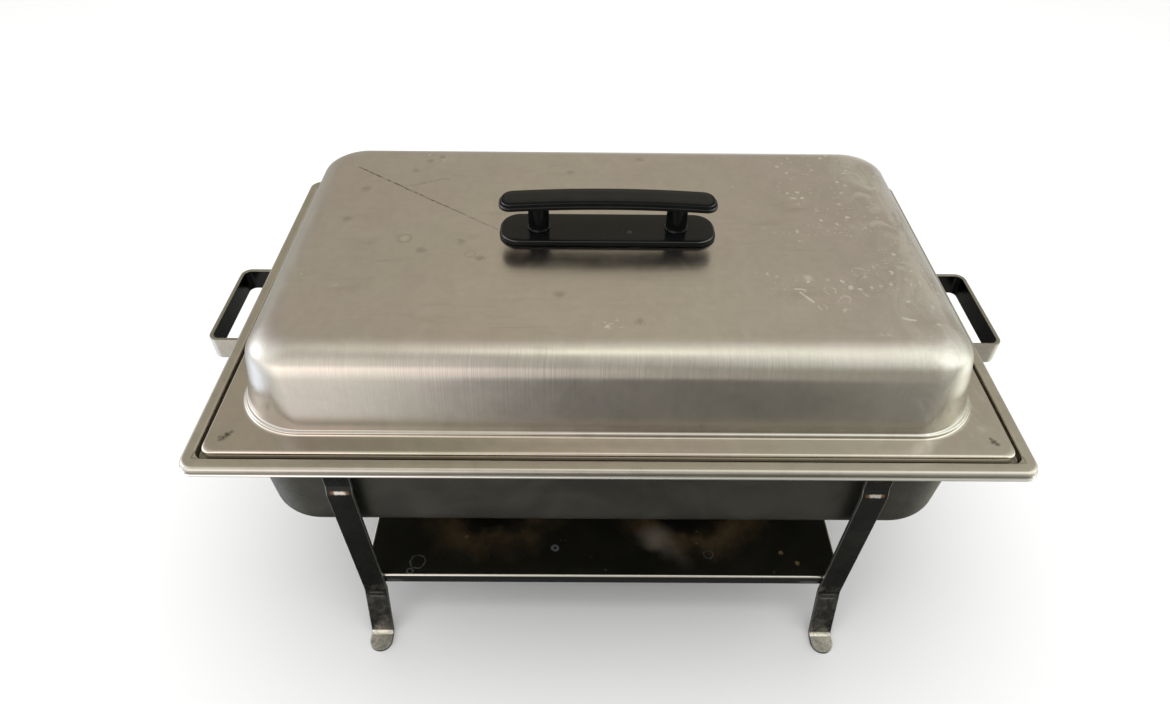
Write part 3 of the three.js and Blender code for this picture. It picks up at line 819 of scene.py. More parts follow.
# ---------------------------------------------------------------- pan steel
def water_pan_finish(m, base, rough):
    """Paints light and shade on the water pan: shade in the rim's groove, on its inner crest, its flat
    and the crease, a highlight on the curled bead, and a dark grey outside below the rim.
    """
    x, y, z = m.axes
    # tone of the shade painted in the groove and on the rim's crest
    groove_shade = (0.12, 0.11, 0.085)
    side_x, side_y = abs(x), abs(y)

    def outside(half_x, half_y):
        """How far a point is outside a rectangle."""
        return largest(side_x - half_x, side_y - half_y)

    # painted shade: the groove beside the cover is darkened
    inside = side_x.fall(0.28005, 0.28075) * side_y.fall(0.17185, 0.17255)
    groove = inside * z.fall(0.2412, 0.2426) * z.rise(0.2350, 0.2366)
    near = outside(0.2775, 0.1680)
    groove = groove * near.rise(-0.006, 0.0)
    base = base.coat(groove * near.ramp(0.0004, 0.0024, 0.84, 0.24), groove_shade)
    # painted shade: a dark line along the rim's inner crest
    crest = abs(outside(0.2805, 0.1723)).fall(0.0002, 0.0006) * z.rise(0.2422, 0.2426)
    base = base.coat(crest * 0.55, groove_shade)
    # painted shade: the level flat of the rim is darkened
    flat_rim = m.facing[2].rise(0.95, 0.985) * z.rise(0.2422, 0.2427)
    base = base.tint(flat_rim, (0.78, 0.76, 0.72))
    # painted highlight: the curled bead is painted near-white
    bead = z.fall(0.2381, 0.2386) * outside(0.2872, 0.1802).rise(0.0, 0.0006)
    base = base.coat(bead, (1.0, 0.99, 0.97))
    # painted shade in the crease above the curled edge
    crease = abs(z - 0.23855).fall(0.0003, 0.0008)
    crease = crease * outside(0.2875, 0.1805).rise(0.0, 0.0008)
    base = base.coat(crease * 0.75, (0.14, 0.13, 0.11))
    # painted shade: the outside below the rim is a dull dark grey for the dark surroundings it
    # reflects, mottled at the ends and lighter towards the bottom
    under = (1.0 - m.attribute("face")) * z.fall(0.2350, 0.2366)
    mottle = m.noise(300, (2, 2, 2), detail=3, rough=0.7)
    cloud = m.noise((18, 18, 14), (6, 1, 2), detail=4, rough=0.6, distort=0.6)
    dark = cloud.rise(0.35, 0.7).colours((0.116, 0.117, 0.109), (0.158, 0.158, 0.146))
    dark = dark.shade(1.0 + abs(x).rise(0.20, 0.255) * mottle.linear(0.3, 0.75, -0.12, 0.62))
    dark = dark.shade(z.ramp(0.131, 0.160, 1.12, 0.92))
    return base.coat(under, dark), under.between(rough, cloud.linear(0.3, 0.7, 0.38, 0.50))


def pan_steel(name, light_tone, dark_tone, finish=None):
    """Satin sheet; `finish` may paint light and shade into its colour and change its roughness."""
    m = Shader(name)
    x, y, z = m.axes
    broad = m.noise(9, (1, 1, 1), detail=4, rough=0.55, distort=0.4)
    smudge = m.noise(60, detail=5, rough=0.65, distort=0.5)
    on_wall = m.noise(vector=m.vector(x * 12, y * 12, z * 1100), rough=0.7)
    along_x = m.noise(vector=m.vector(x * 10, y * 900, z * 10), rough=0.7)
    along_y = m.noise(vector=m.vector(x * 900, y * 10, z * 10), rough=0.7)
    # on the flat rim the grain follows each side
    at_end = (abs(x) - abs(y)).rise(0.106, 0.108)
    level = abs(m.facing[2]).rise(0.6, 0.8)
    grain = level.between(on_wall, at_end.between(along_x, along_y))
    base = broad.colours(dark_tone, light_tone)
    base = base.shade(smudge.linear(0.28, 0.72, 0.93, 1.06))
    base = base.shade(grain.linear(0.25, 0.75, 0.96, 1.04))
    rough = smudge.linear(0.3, 0.7, 0.26, 0.35)
    if finish:
        base, rough = finish(m, base, rough)
    normal = m.relief((grain, 0.10, 0.0003), (m.noise(20), 0.10, 0.0012))
    return m.finish(Base_Color=base, Metallic=1.0, Roughness=rough, Normal=normal)


# ---------------------------------------------------------------- strap steel
def leg_finish(m, dark, rough, smudge, fine):
    """Light and shade painted by height up the leg: lighter low down, highlights at the bends and on
    the set-off, a pale lit toe, and lighter legs on the right.
    """
    x, _, z = m.axes
    leg_x = 0.1925
    # painted light: below the lower bend the leg faces up and forward and is painted lighter
    low = smudge.rise(0.35, 0.75).colours((0.075, 0.076, 0.076), (0.175, 0.172, 0.166))
    dark = dark.coat(z.fall(0.044, 0.054), low)
    # painted highlights: a light patch inside the bend, and two faint light lines just under it
    painted_sheen = abs(z - 0.0575).fall(0.002, 0.006) * smudge.rise(0.42, 0.62)
    dark = dark.coat(painted_sheen * 0.7, (0.22, 0.21, 0.19))
    upper = abs(z - 0.0500).fall(0.0003, 0.0008)
    lower = abs(z - 0.0455).fall(0.0003, 0.0009)
    middle = abs(abs(x) - leg_x).fall(0.004, 0.0075)
    dark = dark.coat((upper + lower * 1.2) * middle * 0.55, (0.42, 0.41, 0.39))
    # painted highlight: a light lozenge, brown at its ends, where the set-off near the top catches the
    # light
    across = abs(abs(x) - leg_x + (smudge - 0.5) * 0.004)
    tall = (abs(z - 0.1965) + (fine - 0.5) * 0.0016).fall(0.0006, 0.0021)
    wide = across.fall(0.0058, 0.0078)
    lozenge_highlight = across.rise(0.0028, 0.0050).colours((0.86, 0.82, 0.76), (0.22, 0.12, 0.06))
    dark = dark.coat(tall * wide * 0.92, lozenge_highlight)
    # painted light: the flat toe faces up and is painted pale steel
    toe = z.fall(0.0045, 0.0060)
    lit_toe = smudge.rise(0.3, 0.7).colours((0.56, 0.54, 0.475), (0.88, 0.85, 0.78))
    lit_toe = lit_toe.shade(fine.linear(0.3, 0.7, 0.8, 1.2))
    blotch = m.noise(240, (3, 1, 0), detail=4, rough=0.7)
    lit_toe = lit_toe.shade(blotch.linear(0.3, 0.7, 0.72, 1.18))
    dark = dark.coat(toe, lit_toe)
    # painted highlight: a jagged light line along the bend above the toe
    toe_bend_highlight = abs(z - 0.0085).fall(0.001, 0.003) * smudge.rise(0.4, 0.7)
    dark = dark.coat(toe_bend_highlight * 0.6, (0.32, 0.31, 0.27))
    # painted light: the right-hand legs are lighter above the toe
    dark = dark.shade(1.0 + x.ramp(-0.1, 0.1, 0.0, 0.55) * z.rise(0.012, 0.020))
    rough = toe.between(rough, 0.36)
    return dark, (tall * wide).between(rough, 0.42)


def strap_steel(kind):
    """Flat polished bar of the stand: faces painted near-black as shade, edges painted lighter as
    highlights.
    """
    m = Shader("strap_steel_" + kind)
    broad = m.noise(30, (4, 0, 2), detail=4, rough=0.6, distort=0.6)
    smudge = m.noise((150, 150, 110), detail=5, rough=0.65, distort=1.0)
    fine = m.noise((700, 700, 300), detail=3, rough=0.6)
    edge = m.attribute("edge").rise(0.35, 0.9)
    # painted shade: the broad faces are near-black, for the dark surroundings the polished steel
    # reflects
    base = broad.rise(0.3, 0.7).colours((0.022, 0.024, 0.025), (0.036, 0.037, 0.037))
    base = base.shade(smudge.linear(0.3, 0.75, 0.85, 1.35))
    rough = smudge.linear(0.3, 0.7, 0.20, 0.34)
    edge_tones = (0.26, 0.26, 0.25), (0.42, 0.415, 0.40)
    if kind == "leg":
        base, rough = leg_finish(m, base, rough, smudge, fine)
    if kind == "handle":
        # painted light: one broad face is painted bright steel as lit, the other stays dark as shade
        face = m.attribute("face")
        bright = broad.colours((0.52, 0.50, 0.45), (0.66, 0.63, 0.58))
        bright = bright.shade(smudge.linear(0.3, 0.7, 0.9, 1.1))
        base = base.coat(face.rise(0.4, 0.6), bright)
        rough = face.between(rough, 0.34)
        edge_tones = (0.24, 0.235, 0.20), (0.36, 0.35, 0.31)
    # painted highlights along the rounded edges
    base = base.coat(edge, fine.colours(*edge_tones))
    rough = edge.between(rough, 0.33)
    normal = m.relief((m.noise(260, detail=3, rough=0.6), 0.08, 0.0004), (fine, 0.05, 0.0002))
    return m.finish(Base_Color=base, Metallic=1.0, Roughness=rough, Normal=normal)


# ---------------------------------------------------------------- shelf steel
def shelf_near_burners(m, base):
    """Brown rings round the two burners, a painted shadow under each, and a pale blur in front of the
    right one.
    """
    x, y, _ = m.axes
    edge = m.noise((40, 40, 0), (7, 7, 0), detail=4, rough=0.6)
    for burner_x, strength in ((-0.098, 1.0), (0.080, 1.35)):
        distance = length(x - burner_x, y + 0.072) + (edge - 0.5) * 0.030
        halo = distance.rise(0.032, 0.048) * distance.fall(0.048, 0.080)
        patches = m.noise((34, 26, 0), (2, 5, 0), detail=3, rough=0.6)
        halo = halo * patches.linear(0.40, 0.62, 0.35, 1.25)
        base = base.coat(halo * (0.62 * strength), (0.128, 0.088, 0.044))
        # painted shadow: near-black under each burner
        base = base.coat(distance.fall(0.024, 0.048) * 0.70, (0.006, 0.006, 0.006))
    blur = m.spot(edge, (0.045, -0.119), 0.019, soft=0.98, ragged=0.014)
    base = base.coat(blur * 0.74, (0.345, 0.295, 0.235))
    # its tail: centre, radius, strength
    for centre, radius, strength in (
        ((0.053, -0.127), 0.017, 0.26),
        ((0.061, -0.134), 0.015, 0.16),
        ((0.069, -0.141), 0.013, 0.09),
    ):
        blur = m.spot(edge, centre, radius, soft=0.98, ragged=0.016)
        base = base.coat(blur * strength, (0.330, 0.285, 0.230))
    return base


def shelf_steel():
    m = Shader("shelf_steel")
    x, y, z = m.axes
    cloud = m.noise((14, 20, 10), (1, 2, 3), detail=4, rough=0.6, distort=0.8)
    smudge = m.noise((90, 110, 90), detail=5, rough=0.65, distort=0.8)
    # painted shade: the polished shelf is near-black, for the dark underside of the pan that it
    # reflects
    base = cloud.rise(0.35, 0.7).colours((0.013, 0.013, 0.009), (0.024, 0.023, 0.017))
    base = shelf_near_burners(m, base)
    dots = m.cells((85, 85, 0)).fall(0.07, 0.16)
    dots = dots * m.noise((30, 30, 0), (3, 9, 0)).rise(0.56, 0.64)
    edge = m.noise((300, 300, 0))
    marks = largest(
        m.circle(edge, (-0.0411, -0.1300), 0.0024, width=0.0016, ragged=0.002),
        m.circle(edge, (-0.1570, -0.1440), 0.0062, width=0.0009, ragged=0.0035) * 0.5,
        m.circle(edge, (-0.1620, -0.1530), 0.0025, width=0.0010, ragged=0.002) * 0.6,
        m.circle(edge, (0.0905, -0.1355), 0.0040, width=0.0010, ragged=0.003) * 0.35,
    )
    rust = largest(
        m.spot(edge, (0.1530, -0.1335), 0.0028, soft=0.6, ragged=0.002),
        m.spot(edge, (0.1650, -0.1435), 0.0026, soft=0.6, ragged=0.002),
        m.spot(edge, (-0.1180, -0.1190), 0.0024, soft=0.7, ragged=0.002) * 0.6,
    )
    upward = m.facing[2].rise(0.7, 0.9)
    base = base.coat(dots * upward * 0.28, (0.11, 0.105, 0.095))
    base = base.coat(marks * upward * 0.8, (0.20, 0.205, 0.215))
    base = base.coat(rust * upward * 0.8, (0.30, 0.21, 0.10))
    # painted highlight: the bend line along the edges is bright
    long_bend = abs(abs(y) - 0.15625).fall(0.0004, 0.0010)
    short_bend = abs(abs(x) - 0.19865).fall(0.0007, 0.0016)
    bend = largest(long_bend, short_bend) * z.rise(0.0698, 0.0704)
    base = base.coat(bend * 0.95, (0.86, 0.84, 0.79))
    # painted shade: the side flanges are near-black too
    flange = smudge.colours((0.015, 0.015, 0.016), (0.026, 0.026, 0.028))
    base = base.coat(z.fall(0.0690, 0.0700), flange)
    return m.finish(
        Base_Color=base,
        Metallic=bend.between(0.45, 1.0),
        Roughness=smudge.linear(0.3, 0.7, 0.13, 0.24) + (dots + marks) * 0.25,
        Normal=m.relief((m.noise(14), 0.12, 0.0015)),
    )


# ---------------------------------------------------------------- black phenolic
def grip_gloss(m):
    """Specular of the bar: dull in its two fine grooves, polished on the ridges between."""
    x, _, z = m.axes
    along = x * (1.0 / 0.0825)
    depth = 0.342 - (z + along * along * 0.0032)  # below the bowed top

    def band(start, end, blur=0.0001):
        return depth.rise(start - blur, start) * depth.fall(end, end + blur)

    ridge = largest(band(0.00085, 0.00150) * 0.8, band(0.0029, 0.0034))
    tips = abs(x).rise(0.0735, 0.0800)
    gloss = depth.rise(0.00012, 0.00030).between(0.17, 0.03)
    return gloss + ridge * (0.36 + tips * 0.9) + depth.rise(0.0037, 0.0039) * 0.10


def plate_gloss(m):
    """Specular of the base plate: a thin bright edge, brighter round its front corners."""
    x, y, z = m.axes
    rim = z.rise(0.31215, 0.3123) * z.fall(0.31265, 0.31285) * z.fall(0.3131, 0.3132)
    corner = abs(x).rise(0.066, 0.074) * y.fall(-0.016, -0.008)
    ring = z.rise(0.3137, 0.3139) * z.fall(0.3144, 0.3147)
    gloss = m.facing[2].ramp(0.90, 0.99, 0.10, 0.17)
    return gloss + rim * (0.40 + corner * 1.2) + ring * 0.7


def phenolic():
    m = Shader("black_phenolic")
    z = m.axes[2]
    broad = m.noise(60, detail=4, rough=0.6)
    fine = m.noise(900, detail=3, rough=0.6)
    dust = (0.09, 0.09, 0.085)
    specks = m.cells(420).fall(0.08, 0.20) * m.noise(120, (4, 4, 4)).rise(0.60, 0.68)
    base = broad.rise(0.3, 0.7).colours((0.0034, 0.0038, 0.0041), (0.0056, 0.0060, 0.0063))
    base = base.coat(specks * 0.25, dust)
    nick = m.spot(m.noise((300, 300, 0)), (0.0170, -0.0060), 0.0030, soft=0.7, ragged=0.003)
    base = base.coat(nick * z.fall(0.316, 0.317) * 0.5, dust)
    wipe = m.noise((30, 240, 60), detail=3, rough=0.6, distort=0.6)
    rough = wipe.linear(0.3, 0.7, 0.10, 0.16) * m.facing[2].ramp(0.86, 0.97, 0.55, 1.3)
    gloss = z.rise(0.3325, 0.3328).between(plate_gloss(m), grip_gloss(m))
    return m.finish(
        Base_Color=base,
        Metallic=0.0,
        Roughness=rough + specks * 0.2,
        Normal=m.relief((fine, 0.06, 0.0002), (m.noise(45), 0.08, 0.0006)),
        Specular_IOR_Level=calc(m.tree, "MINIMUM", gloss, 1.0),
    )


# ---------------------------------------------------------------- small metals
def brass():
    m = Shader("insert_brass")
    cloud = m.noise(400, detail=3, rough=0.6)
    turning = m.noise(vector=m.vector(0.0, 0.0, m.axes[2] * 2500), detail=1)
    return m.finish(
        Base_Color=cloud.colours((0.60, 0.44, 0.18), (0.72, 0.56, 0.27)),
        Metallic=1.0,
        Roughness=cloud.ramp(0.3, 0.7, 0.25, 0.4),
        Normal=m.relief((turning, 0.2, 0.0003)),
    )


def zinc():
    m = Shader("fastener_steel")
    cloud = m.noise(350, detail=4, rough=0.6)
    return m.finish(
        Base_Color=cloud.colours((0.60, 0.60, 0.60), (0.74, 0.74, 0.72)),
        Metallic=1.0,
        Roughness=cloud.ramp(0.3, 0.7, 0.2, 0.34),
        Normal=m.relief((m.noise(1500), 0.1, 0.0002)),
    )


def burner_steel(name, axis_x, hot):
    """Spun sheet with turning marks about the burner's axis; hot parts have heat tint."""
    m = Shader(name)
    x, y, z = m.axes
    radius = length(x - axis_x, y)
    spun = m.noise(vector=m.vector(radius * 1400, z * 1400, 0.0), rough=0.6)
    smudge = m.noise(90, detail=4, rough=0.6, distort=0.8)
    base = smudge.colours((0.55, 0.54, 0.52), (0.66, 0.65, 0.62))
    base = base.shade(spun.linear(0.25, 0.75, 0.92, 1.06))
    if hot:
        ragged = radius + (smudge - 0.5) * 0.010
        straw = ragged.rise(0.020, 0.027) * ragged.fall(0.028, 0.038)
        base = base.coat(straw * 0.55, (0.50, 0.34, 0.16))
        base = base.coat(ragged.fall(0.018, 0.026) * 0.55, (0.16, 0.15, 0.19))
    return m.finish(
        Base_Color=base,
        Metallic=1.0,
        Roughness=smudge.ramp(0.3, 0.7, 0.24, 0.36),
        Normal=m.relief((spun, 0.16, 0.0003)),
    )


COVER_STEEL = cover_steel()
PAN_STEEL = pan_steel(
    "water_pan_steel",
    light_tone=(0.58, 0.55, 0.50),
    dark_tone=(0.53, 0.505, 0.455),
    finish=water_pan_finish,
)
FOOD_STEEL = pan_steel(
    "food_pan_steel", light_tone=(0.63, 0.61, 0.58), dark_tone=(0.58, 0.56, 0.53)
)
LEG_STEEL = strap_steel("leg")
BAND_STEEL = strap_steel("band")
HANDLE_STEEL = strap_steel("handle")
SHELF_STEEL = shelf_steel()
BLACK = phenolic()
BRASS = brass()
ZINC = zinc()


# ---------------------------------------------------------------- cover
def cover_shell():
    section = fillet(
        [
            (COVER_HX, LEDGE_Z + 0.5),
            (COVER_HX, FLANGE_Z),
            (DOME_HX + 1.0, FLANGE_Z),
            (DOME_HX + 0.7, FLANGE_Z + 2.6),
            (DOME_HX - 1.2, FLANGE_Z + 3.4),
            (245.6, DOME_TOP - 1.9),
            (212, DOME_TOP - DOME_CROWN),
        ],
        [1.9, 1.2, 1.3, 1.0, 26],
        steps=18,
    )
    dome = pressed(
        "cover_shell",
        section,
        COVER_T,
        widths=[(COVER_HX, COVER_HY), (DOME_HX, DOME_HY), (245.6, 139.6), (200, 94)],
        radii=[(COVER_HX, 7), (DOME_HX, 51), (246, 30), (212, 21), (200, 19)],
        divisions=(26, 40, 22),
        step=6.0,
        crown=DOME_CROWN,
        inner=10,
    )
    for _, sign in SIDES:
        drill(dome, 2.5, 295, 320, (sign * SCREW_X, 0), 38.0)
    attach(dome, "cover", "cover_dome", COVER_STEEL)


def oblong(name, profile, half_x, half_y, radius, drop=0.0, drop_x=1.0):
    """Rounded oblong from (inset, z) steps, bottom to top, with both ends closed.

    drop: how far it bows down at x = +/- drop_x
    """
    divisions = corner_steps, long_points, short_points = 18, 36, 4
    shape = Shape()

    def ring(inset, z):
        corner = max(0.6, radius - inset)
        return shape.add(rounded_ring(half_x - inset, half_y - inset, corner, z, divisions))

    rows = [ring(inset, z) for inset, z in profile]
    for a, b in zip(rows[:-1], rows[1:]):
        shape.bridge(a, b)
    half = 2 * (corner_steps + 1) + long_points
    for previous, (inset, z) in ((rows[0], profile[0]), (rows[-1], profile[-1])):
        for k in range(1, 5):
            f = k / 4
            shrink = (half_y - inset - 1.0) * f
            corner = max(0.5, (radius - inset) * (1 - f) + 0.5 * f)
            size = half_x - inset - shrink, half_y - inset - shrink
            row = shape.add(rounded_ring(*size, corner, z, divisions))
            shape.bridge(previous, row)
            previous = row

        # strips between the two long sides, then the two ends
        front = previous[2 * half + short_points - 1 :: -1]
        for j in range(1, half - 2):
            shape.cap((previous[j], previous[j + 1], front[j + 1], front[j]))
        rest = previous[2 * half + short_points :]
        shape.cap([previous[0], previous[1], front[1], front[0]] + rest)
        side = previous[half - 1 : half + short_points + 1]
        shape.cap([previous[half - 2]] + side + [front[half - 2]])
    shape.points = [(x, y, z - drop * (x / drop_x) ** 2) for x, y, z in shape.points]
    return shape.make(name, 30.0)


def quarter_round(inset, z, end_inset, end_z, steps, level_first=False):
    """(inset, z) steps of a quarter-round that starts upright, or level."""
    points = []
    for k in range(1, steps + 1):
        angle = pi / 2 * k / steps
        f, g = 1 - cos(angle), sin(angle)
        if level_first:
            f, g = g, f
        points.append((inset + (end_inset - inset) * f, z + (end_z - z) * g))
    return points


def cover_plate():
    """Base plate: a low step round the foot, a crowned edge above it."""
    z = PLATE_LO[2]
    profile = [
        *((0.5, z), (0.12, z + 0.12), (0.0, z + 0.5), (0.0, z + 1.3)),
        *quarter_round(0.0, z + 1.3, 0.5, z + 1.7, 4),
        *((0.62, z + 1.72), (0.72, z + 1.9), (0.76, z + 2.3)),
        *quarter_round(0.76, z + 2.3, 2.0, z + 3.45, 6),
        (3.2, z + 3.5),
    ]
    plate = oblong("cover_plate", profile, PLATE_HI[0], PLATE_HI[1], 16.0)
    for _, sign in SIDES:
        drill(plate, 2.5, 300, 330, (sign * SCREW_X, 0), 30.0)
    attach(plate, "cover", "cover_base_plate", BLACK)


def cover_grip():
    """Bowed bar with two fine steps along its edge, on two round posts."""
    top = GRIP_HI[2]
    profile = [
        *((1.6, top - 6.0), (0.9, top - 5.93)),
        *quarter_round(0.9, top - 5.93, 0.0, top - 5.1, 4, level_first=True),
        (0.0, top - 3.5),
        *quarter_round(0.0, top - 3.5, 0.45, top - 3.1, 4),
        *((0.85, top - 3.08), (0.95, top - 2.95), (0.97, top - 2.6), (1.05, top - 2.5)),
        *((1.15, top - 2.35), (1.35, top - 2.2), (1.7, top - 2.14), (1.85, top - 2.0)),
        (1.9, top - 1.55),
        *quarter_round(1.9, top - 1.55, 3.4, top - 0.25, 6),
        *((5.5, top - 0.08), (8.0, top)),
    ]
    bar = oblong("cover_grip_bar", profile, GRIP_HI[0], GRIP_HI[1], 10.0, drop=3.2, drop_x=82.3)
    foot = PLATE_HI[2] + 0.3
    post_profile = [
        (0, foot), (8.1, foot), (8.55, foot + 0.15), (8.7, foot + 0.6), (8.6, foot + 1.05),
        (8.25, foot + 1.25), (8.1, foot + 1.6), (8.0, foot + 4), (8.05, top - 9.5),
        (8.35, top - 8.0), (9.0, top - 6.9), (9.6, top - 6.0), (9.6, top - 5.0), (0, top - 5.0),
    ]
    for _, sign in SIDES:
        centre = (sign * SCREW_X, 0)
        boolean(bar, lathe("post", post_profile, 56, centre, 30.0), "UNION", 30.0)
        drill(bar, 3.8, foot - 3, PLATE_HI[2] + 15, centre, 30.0)
    attach(bar, "cover", "cover_grip", BLACK)


def grip_insert(side, centre):
    low, high = box_mm("grip_insert_" + side)
    bottom, top = low[2], high[2]
    profile = [(2.3, bottom), (3.2, bottom)]
    z = bottom + 0.4
    while z < top - 0.9:  # knurled bands
        profile += [(3.5, z), (3.5, z + 0.5), (3.15, z + 0.7), (3.15, z + 0.9)]
        z += 1.1
    profile += [(3.4, top - 0.2), (3.2, top), (2.3, top)]
    insert = lathe("insert_" + side, profile, 40, centre, 30.0)
    attach(insert, "cover", "grip_insert_" + side, BRASS)


def cover_washer(side, centre):
    low, high = box_mm("cover_washer_" + side)
    bottom, top = low[2], high[2]
    profile = [
        (2.4, bottom + 0.1), (2.5, bottom), (5.8, bottom), (6.0, bottom + 0.2),
        (6.0, top - 0.2), (5.8, top), (2.5, top), (2.4, top - 0.1),
    ]
    washer = lathe("washer_" + side, profile, 48, centre, 30.0)
    attach(washer, "cover", "cover_washer_" + side, ZINC)


def cover_screw(side, centre):
    """Screw with its slotted head down."""
    low, high = box_mm("cover_screw_" + side)
    bottom, top = low[2], high[2]
    # head: radius, height above the bottom
    head = [(0, 0), (2.2, 0.03), (3.1, 0.3), (3.7, 0.8), (3.9, 1.5), (3.9, 2.6), (3.7, 2.8), (2.0, 2.8)]
    profile = [(radius, bottom + up) for radius, up in head]
    z = bottom + 3.4
    while z < top - 1.2:  # thread turns
        profile += [(1.72, z), (2.0, z + 0.35)]
        z += 0.7
    profile += [(1.8, top - 0.6), (1.3, top), (0, top)]
    screw = lathe("screw_" + side, profile, 40, centre, 30.0)
    half_length, half_width, depth = 4.6, 0.55, 1.2
    slot = Shape()
    rows = []
    for z in (bottom - 1.0, bottom + depth):
        corners = ((-1, -1), (1, -1), (1, 1), (-1, 1))
        rows.append(
            slot.add([(centre[0] + i * half_length, j * half_width, z) for i, j in corners])
        )
    slot.bridge(rows[0], rows[1])
    slot.cap(rows[0])
    slot.cap(rows[1])
    boolean(screw, slot.make("slot_cut"), "DIFFERENCE", 30.0)
    attach(screw, "cover", "cover_screw_" + side, ZINC)


cover_shell()
cover_plate()
cover_grip()
for side, sign in SIDES:
    for fastener in (grip_insert, cover_washer, cover_screw):
        fastener(side, (sign * SCREW_X, 0))


# ---------------------------------------------------------------- pans
def food_pan():
    floor_z = FOOD_TOP - FOOD_DEPTH + FOOD_T
    section = fillet(
        [(FOOD_HX, FOOD_TOP), (252, FOOD_TOP), (247, floor_z), (226, floor_z)],
        [4, 15],
        steps=14,
    )
    pan = pressed(
        "food_pan_shell",
        section,
        FOOD_T,
        widths=[(FOOD_HX, FOOD_HY), (252, 149.5), (200, 97.5)],
        radii=[(FOOD_HX, 20), (252, 28), (247, 28), (226, 16), (200, 14)],
        divisions=(20, 36, 20),
        step=8.0,
    )
    attach(pan, "food_pan", "food_pan", FOOD_STEEL)


def water_pan():
    # the rim's edge is curled under into a bead a little proud of the skirt above it
    bead_r = 1.55
    skirt_x = RIM_HX - 1.12
    bead = [
        (RIM_HX - bead_r + bead_r * cos(radians(a)), RIM_TOP - 5.95 + bead_r * sin(radians(a)))
        for a in range(-200, 71, 15)
    ]
    section = bead + fillet(
        [
            (skirt_x, RIM_TOP - 4.35),
            (skirt_x, RIM_TOP),
            (280.6, RIM_TOP),
            (279.4, LEDGE_Z),
            (TUB_HX, LEDGE_Z),
            (258.5, TUB_FLOOR),
            (225, TUB_FLOOR),
        ],
        [2.5, 1.6, 1.4, 2, 25],
        steps=16,
    )
    pan = pressed(
        "water_pan_shell",
        section,
        PAN_T,
        widths=[
            (RIM_HX, RIM_HY), (280.6, 172.4), (279.4, 171.2),
            (TUB_HX, TUB_HY), (TUB_HX - 60, TUB_HY - 60),
        ],
        radii=[
            (RIM_HX, 11), (280.6, 8), (279.4, 7.5), (TUB_HX, 34),
            (258.5, 36), (230, 22), (200, 14),
        ],
        divisions=(24, 40, 22),
        step=7.0,
        crown=-FLOOR_DIP,
    )
    attach(pan, "water_pan", "water_pan", PAN_STEEL)


food_pan()
water_pan()


# ---------------------------------------------------------------- stand
def frame_band():
    """A closed strap loop, its section swept round a rounded rectangle."""
    edge = 0.5
    middle_z = (BAND_LO[2] + BAND_HI[2]) / 2
    # strap section: outward, up, and 1 on the rounded corners, where a highlight is painted
    corners = []
    for i, (out_sign, up_sign) in enumerate(((1, 1), (-1, 1), (-1, -1), (1, -1))):
        for k in range(5):
            angle = radians(90 * i + 90 * k / 4)
            out = out_sign * (STRAP_T / 2 - edge) + edge * cos(angle)
            up = up_sign * (STRAP_W / 2 - edge) + edge * sin(angle)
            corners.append((out, up, 1.0))
    section = []
    for a, b in zip(corners, corners[1:] + corners[:1]):
        section.append(a)
        if hypot(b[0] - a[0], b[1] - a[1]) > 5:
            for f in (0.03, 0.25, 0.5, 0.75, 0.97):
                section.append((a[0] + (b[0] - a[0]) * f, a[1] + (b[1] - a[1]) * f, 0.0))
    shape = Shape()
    rows = []
    for out, up, painted_sheen in section:
        grow = out + STRAP_T / 2
        size = BAND_HI[0] - STRAP_T + grow, BAND_HI[1] - STRAP_T + grow, 33.0 + grow
        points = rounded_ring(*size, middle_z + up, (16, 24, 14))
        rows.append(shape.add(points, edge=painted_sheen, face=1.0 if out > 0 else 0.0))
    for a, b in zip(rows, rows[1:] + rows[:1]):
        shape.bridge(a, b)
    attach(shape.make("frame_band_strap", 32.0), "stand", "frame_band", BAND_STEEL)


def legs():
    top_y = BAND_HI[1] + STRAP_GAP + STRAP_T / 2
    middle_x = LEG_HI[0] - STRAP_W / 2
    # distance from the middle along y, height
    path = Path(
        fillet(
            [
                (top_y, BAND_HI[2] - 0.3),
                (top_y, 202),
                (top_y + 2.2, 194.5),
                (158.3, 53),
                (170.6, STRAP_T / 2),
                (-LEG_LO[1], STRAP_T / 2),
            ],
            [5, 5, 9, 5.5],
            steps=12,
        )
    )
    for end, y_sign in (("front", -1), ("rear", 1)):
        for side, x_sign in (("right", 1), ("left", -1)):

            def place(point, across):
                return x_sign * (middle_x + across), y_sign * point[0], point[1]

            name = f"leg_{end}_{side}"
            leg = bent_plate(
                name + "_strap", path, STRAP_W, STRAP_T, place, edge=0.5, toe=True
            )
            attach(leg, "stand", name, LEG_STEEL)


def side_handles():
    fixed_x = BAND_HI[0] + STRAP_GAP + STRAP_T / 2
    bar_x = HANDLE_HI[0] - STRAP_T / 2
    arm_y = 46.5 - STRAP_T / 2
    foot_y = 64
    middle_z = (HANDLE_LO[2] + HANDLE_HI[2]) / 2
    half = [(fixed_x, foot_y), (fixed_x, arm_y), (bar_x, arm_y)]
    points = half + [(x, -y) for x, y in reversed(half)]
    path = Path(fillet(points, [4, 7, 7, 4], steps=12))
    for side, sign in (("right", 1), ("left", -1)):

        def place(point, across):
            return sign * point[0], point[1], middle_z + across

        name = "side_handle_" + side
        handle = bent_plate(name + "_strap", path, STRAP_W, STRAP_T, place, edge=0.5)
        attach(handle, "stand", name, HANDLE_STEEL)


def fuel_shelf():
    half_x, half_y, top = SHELF_HI
    shelf = pressed(
        "fuel_shelf_tray",
        fillet([(half_x, top - 10), (half_x, top), (150, top)], [1.6], steps=14),
        SHELF_T,
        widths=[(half_x, half_y), (150, half_y - 49.5)],
        radii=[(half_x, 3), (half_x - 2, 3), (150, 3)],
        divisions=(8, 36, 24),
        step=8.0,
    )
    attach(shelf, "stand", "fuel_shelf", SHELF_STEEL)


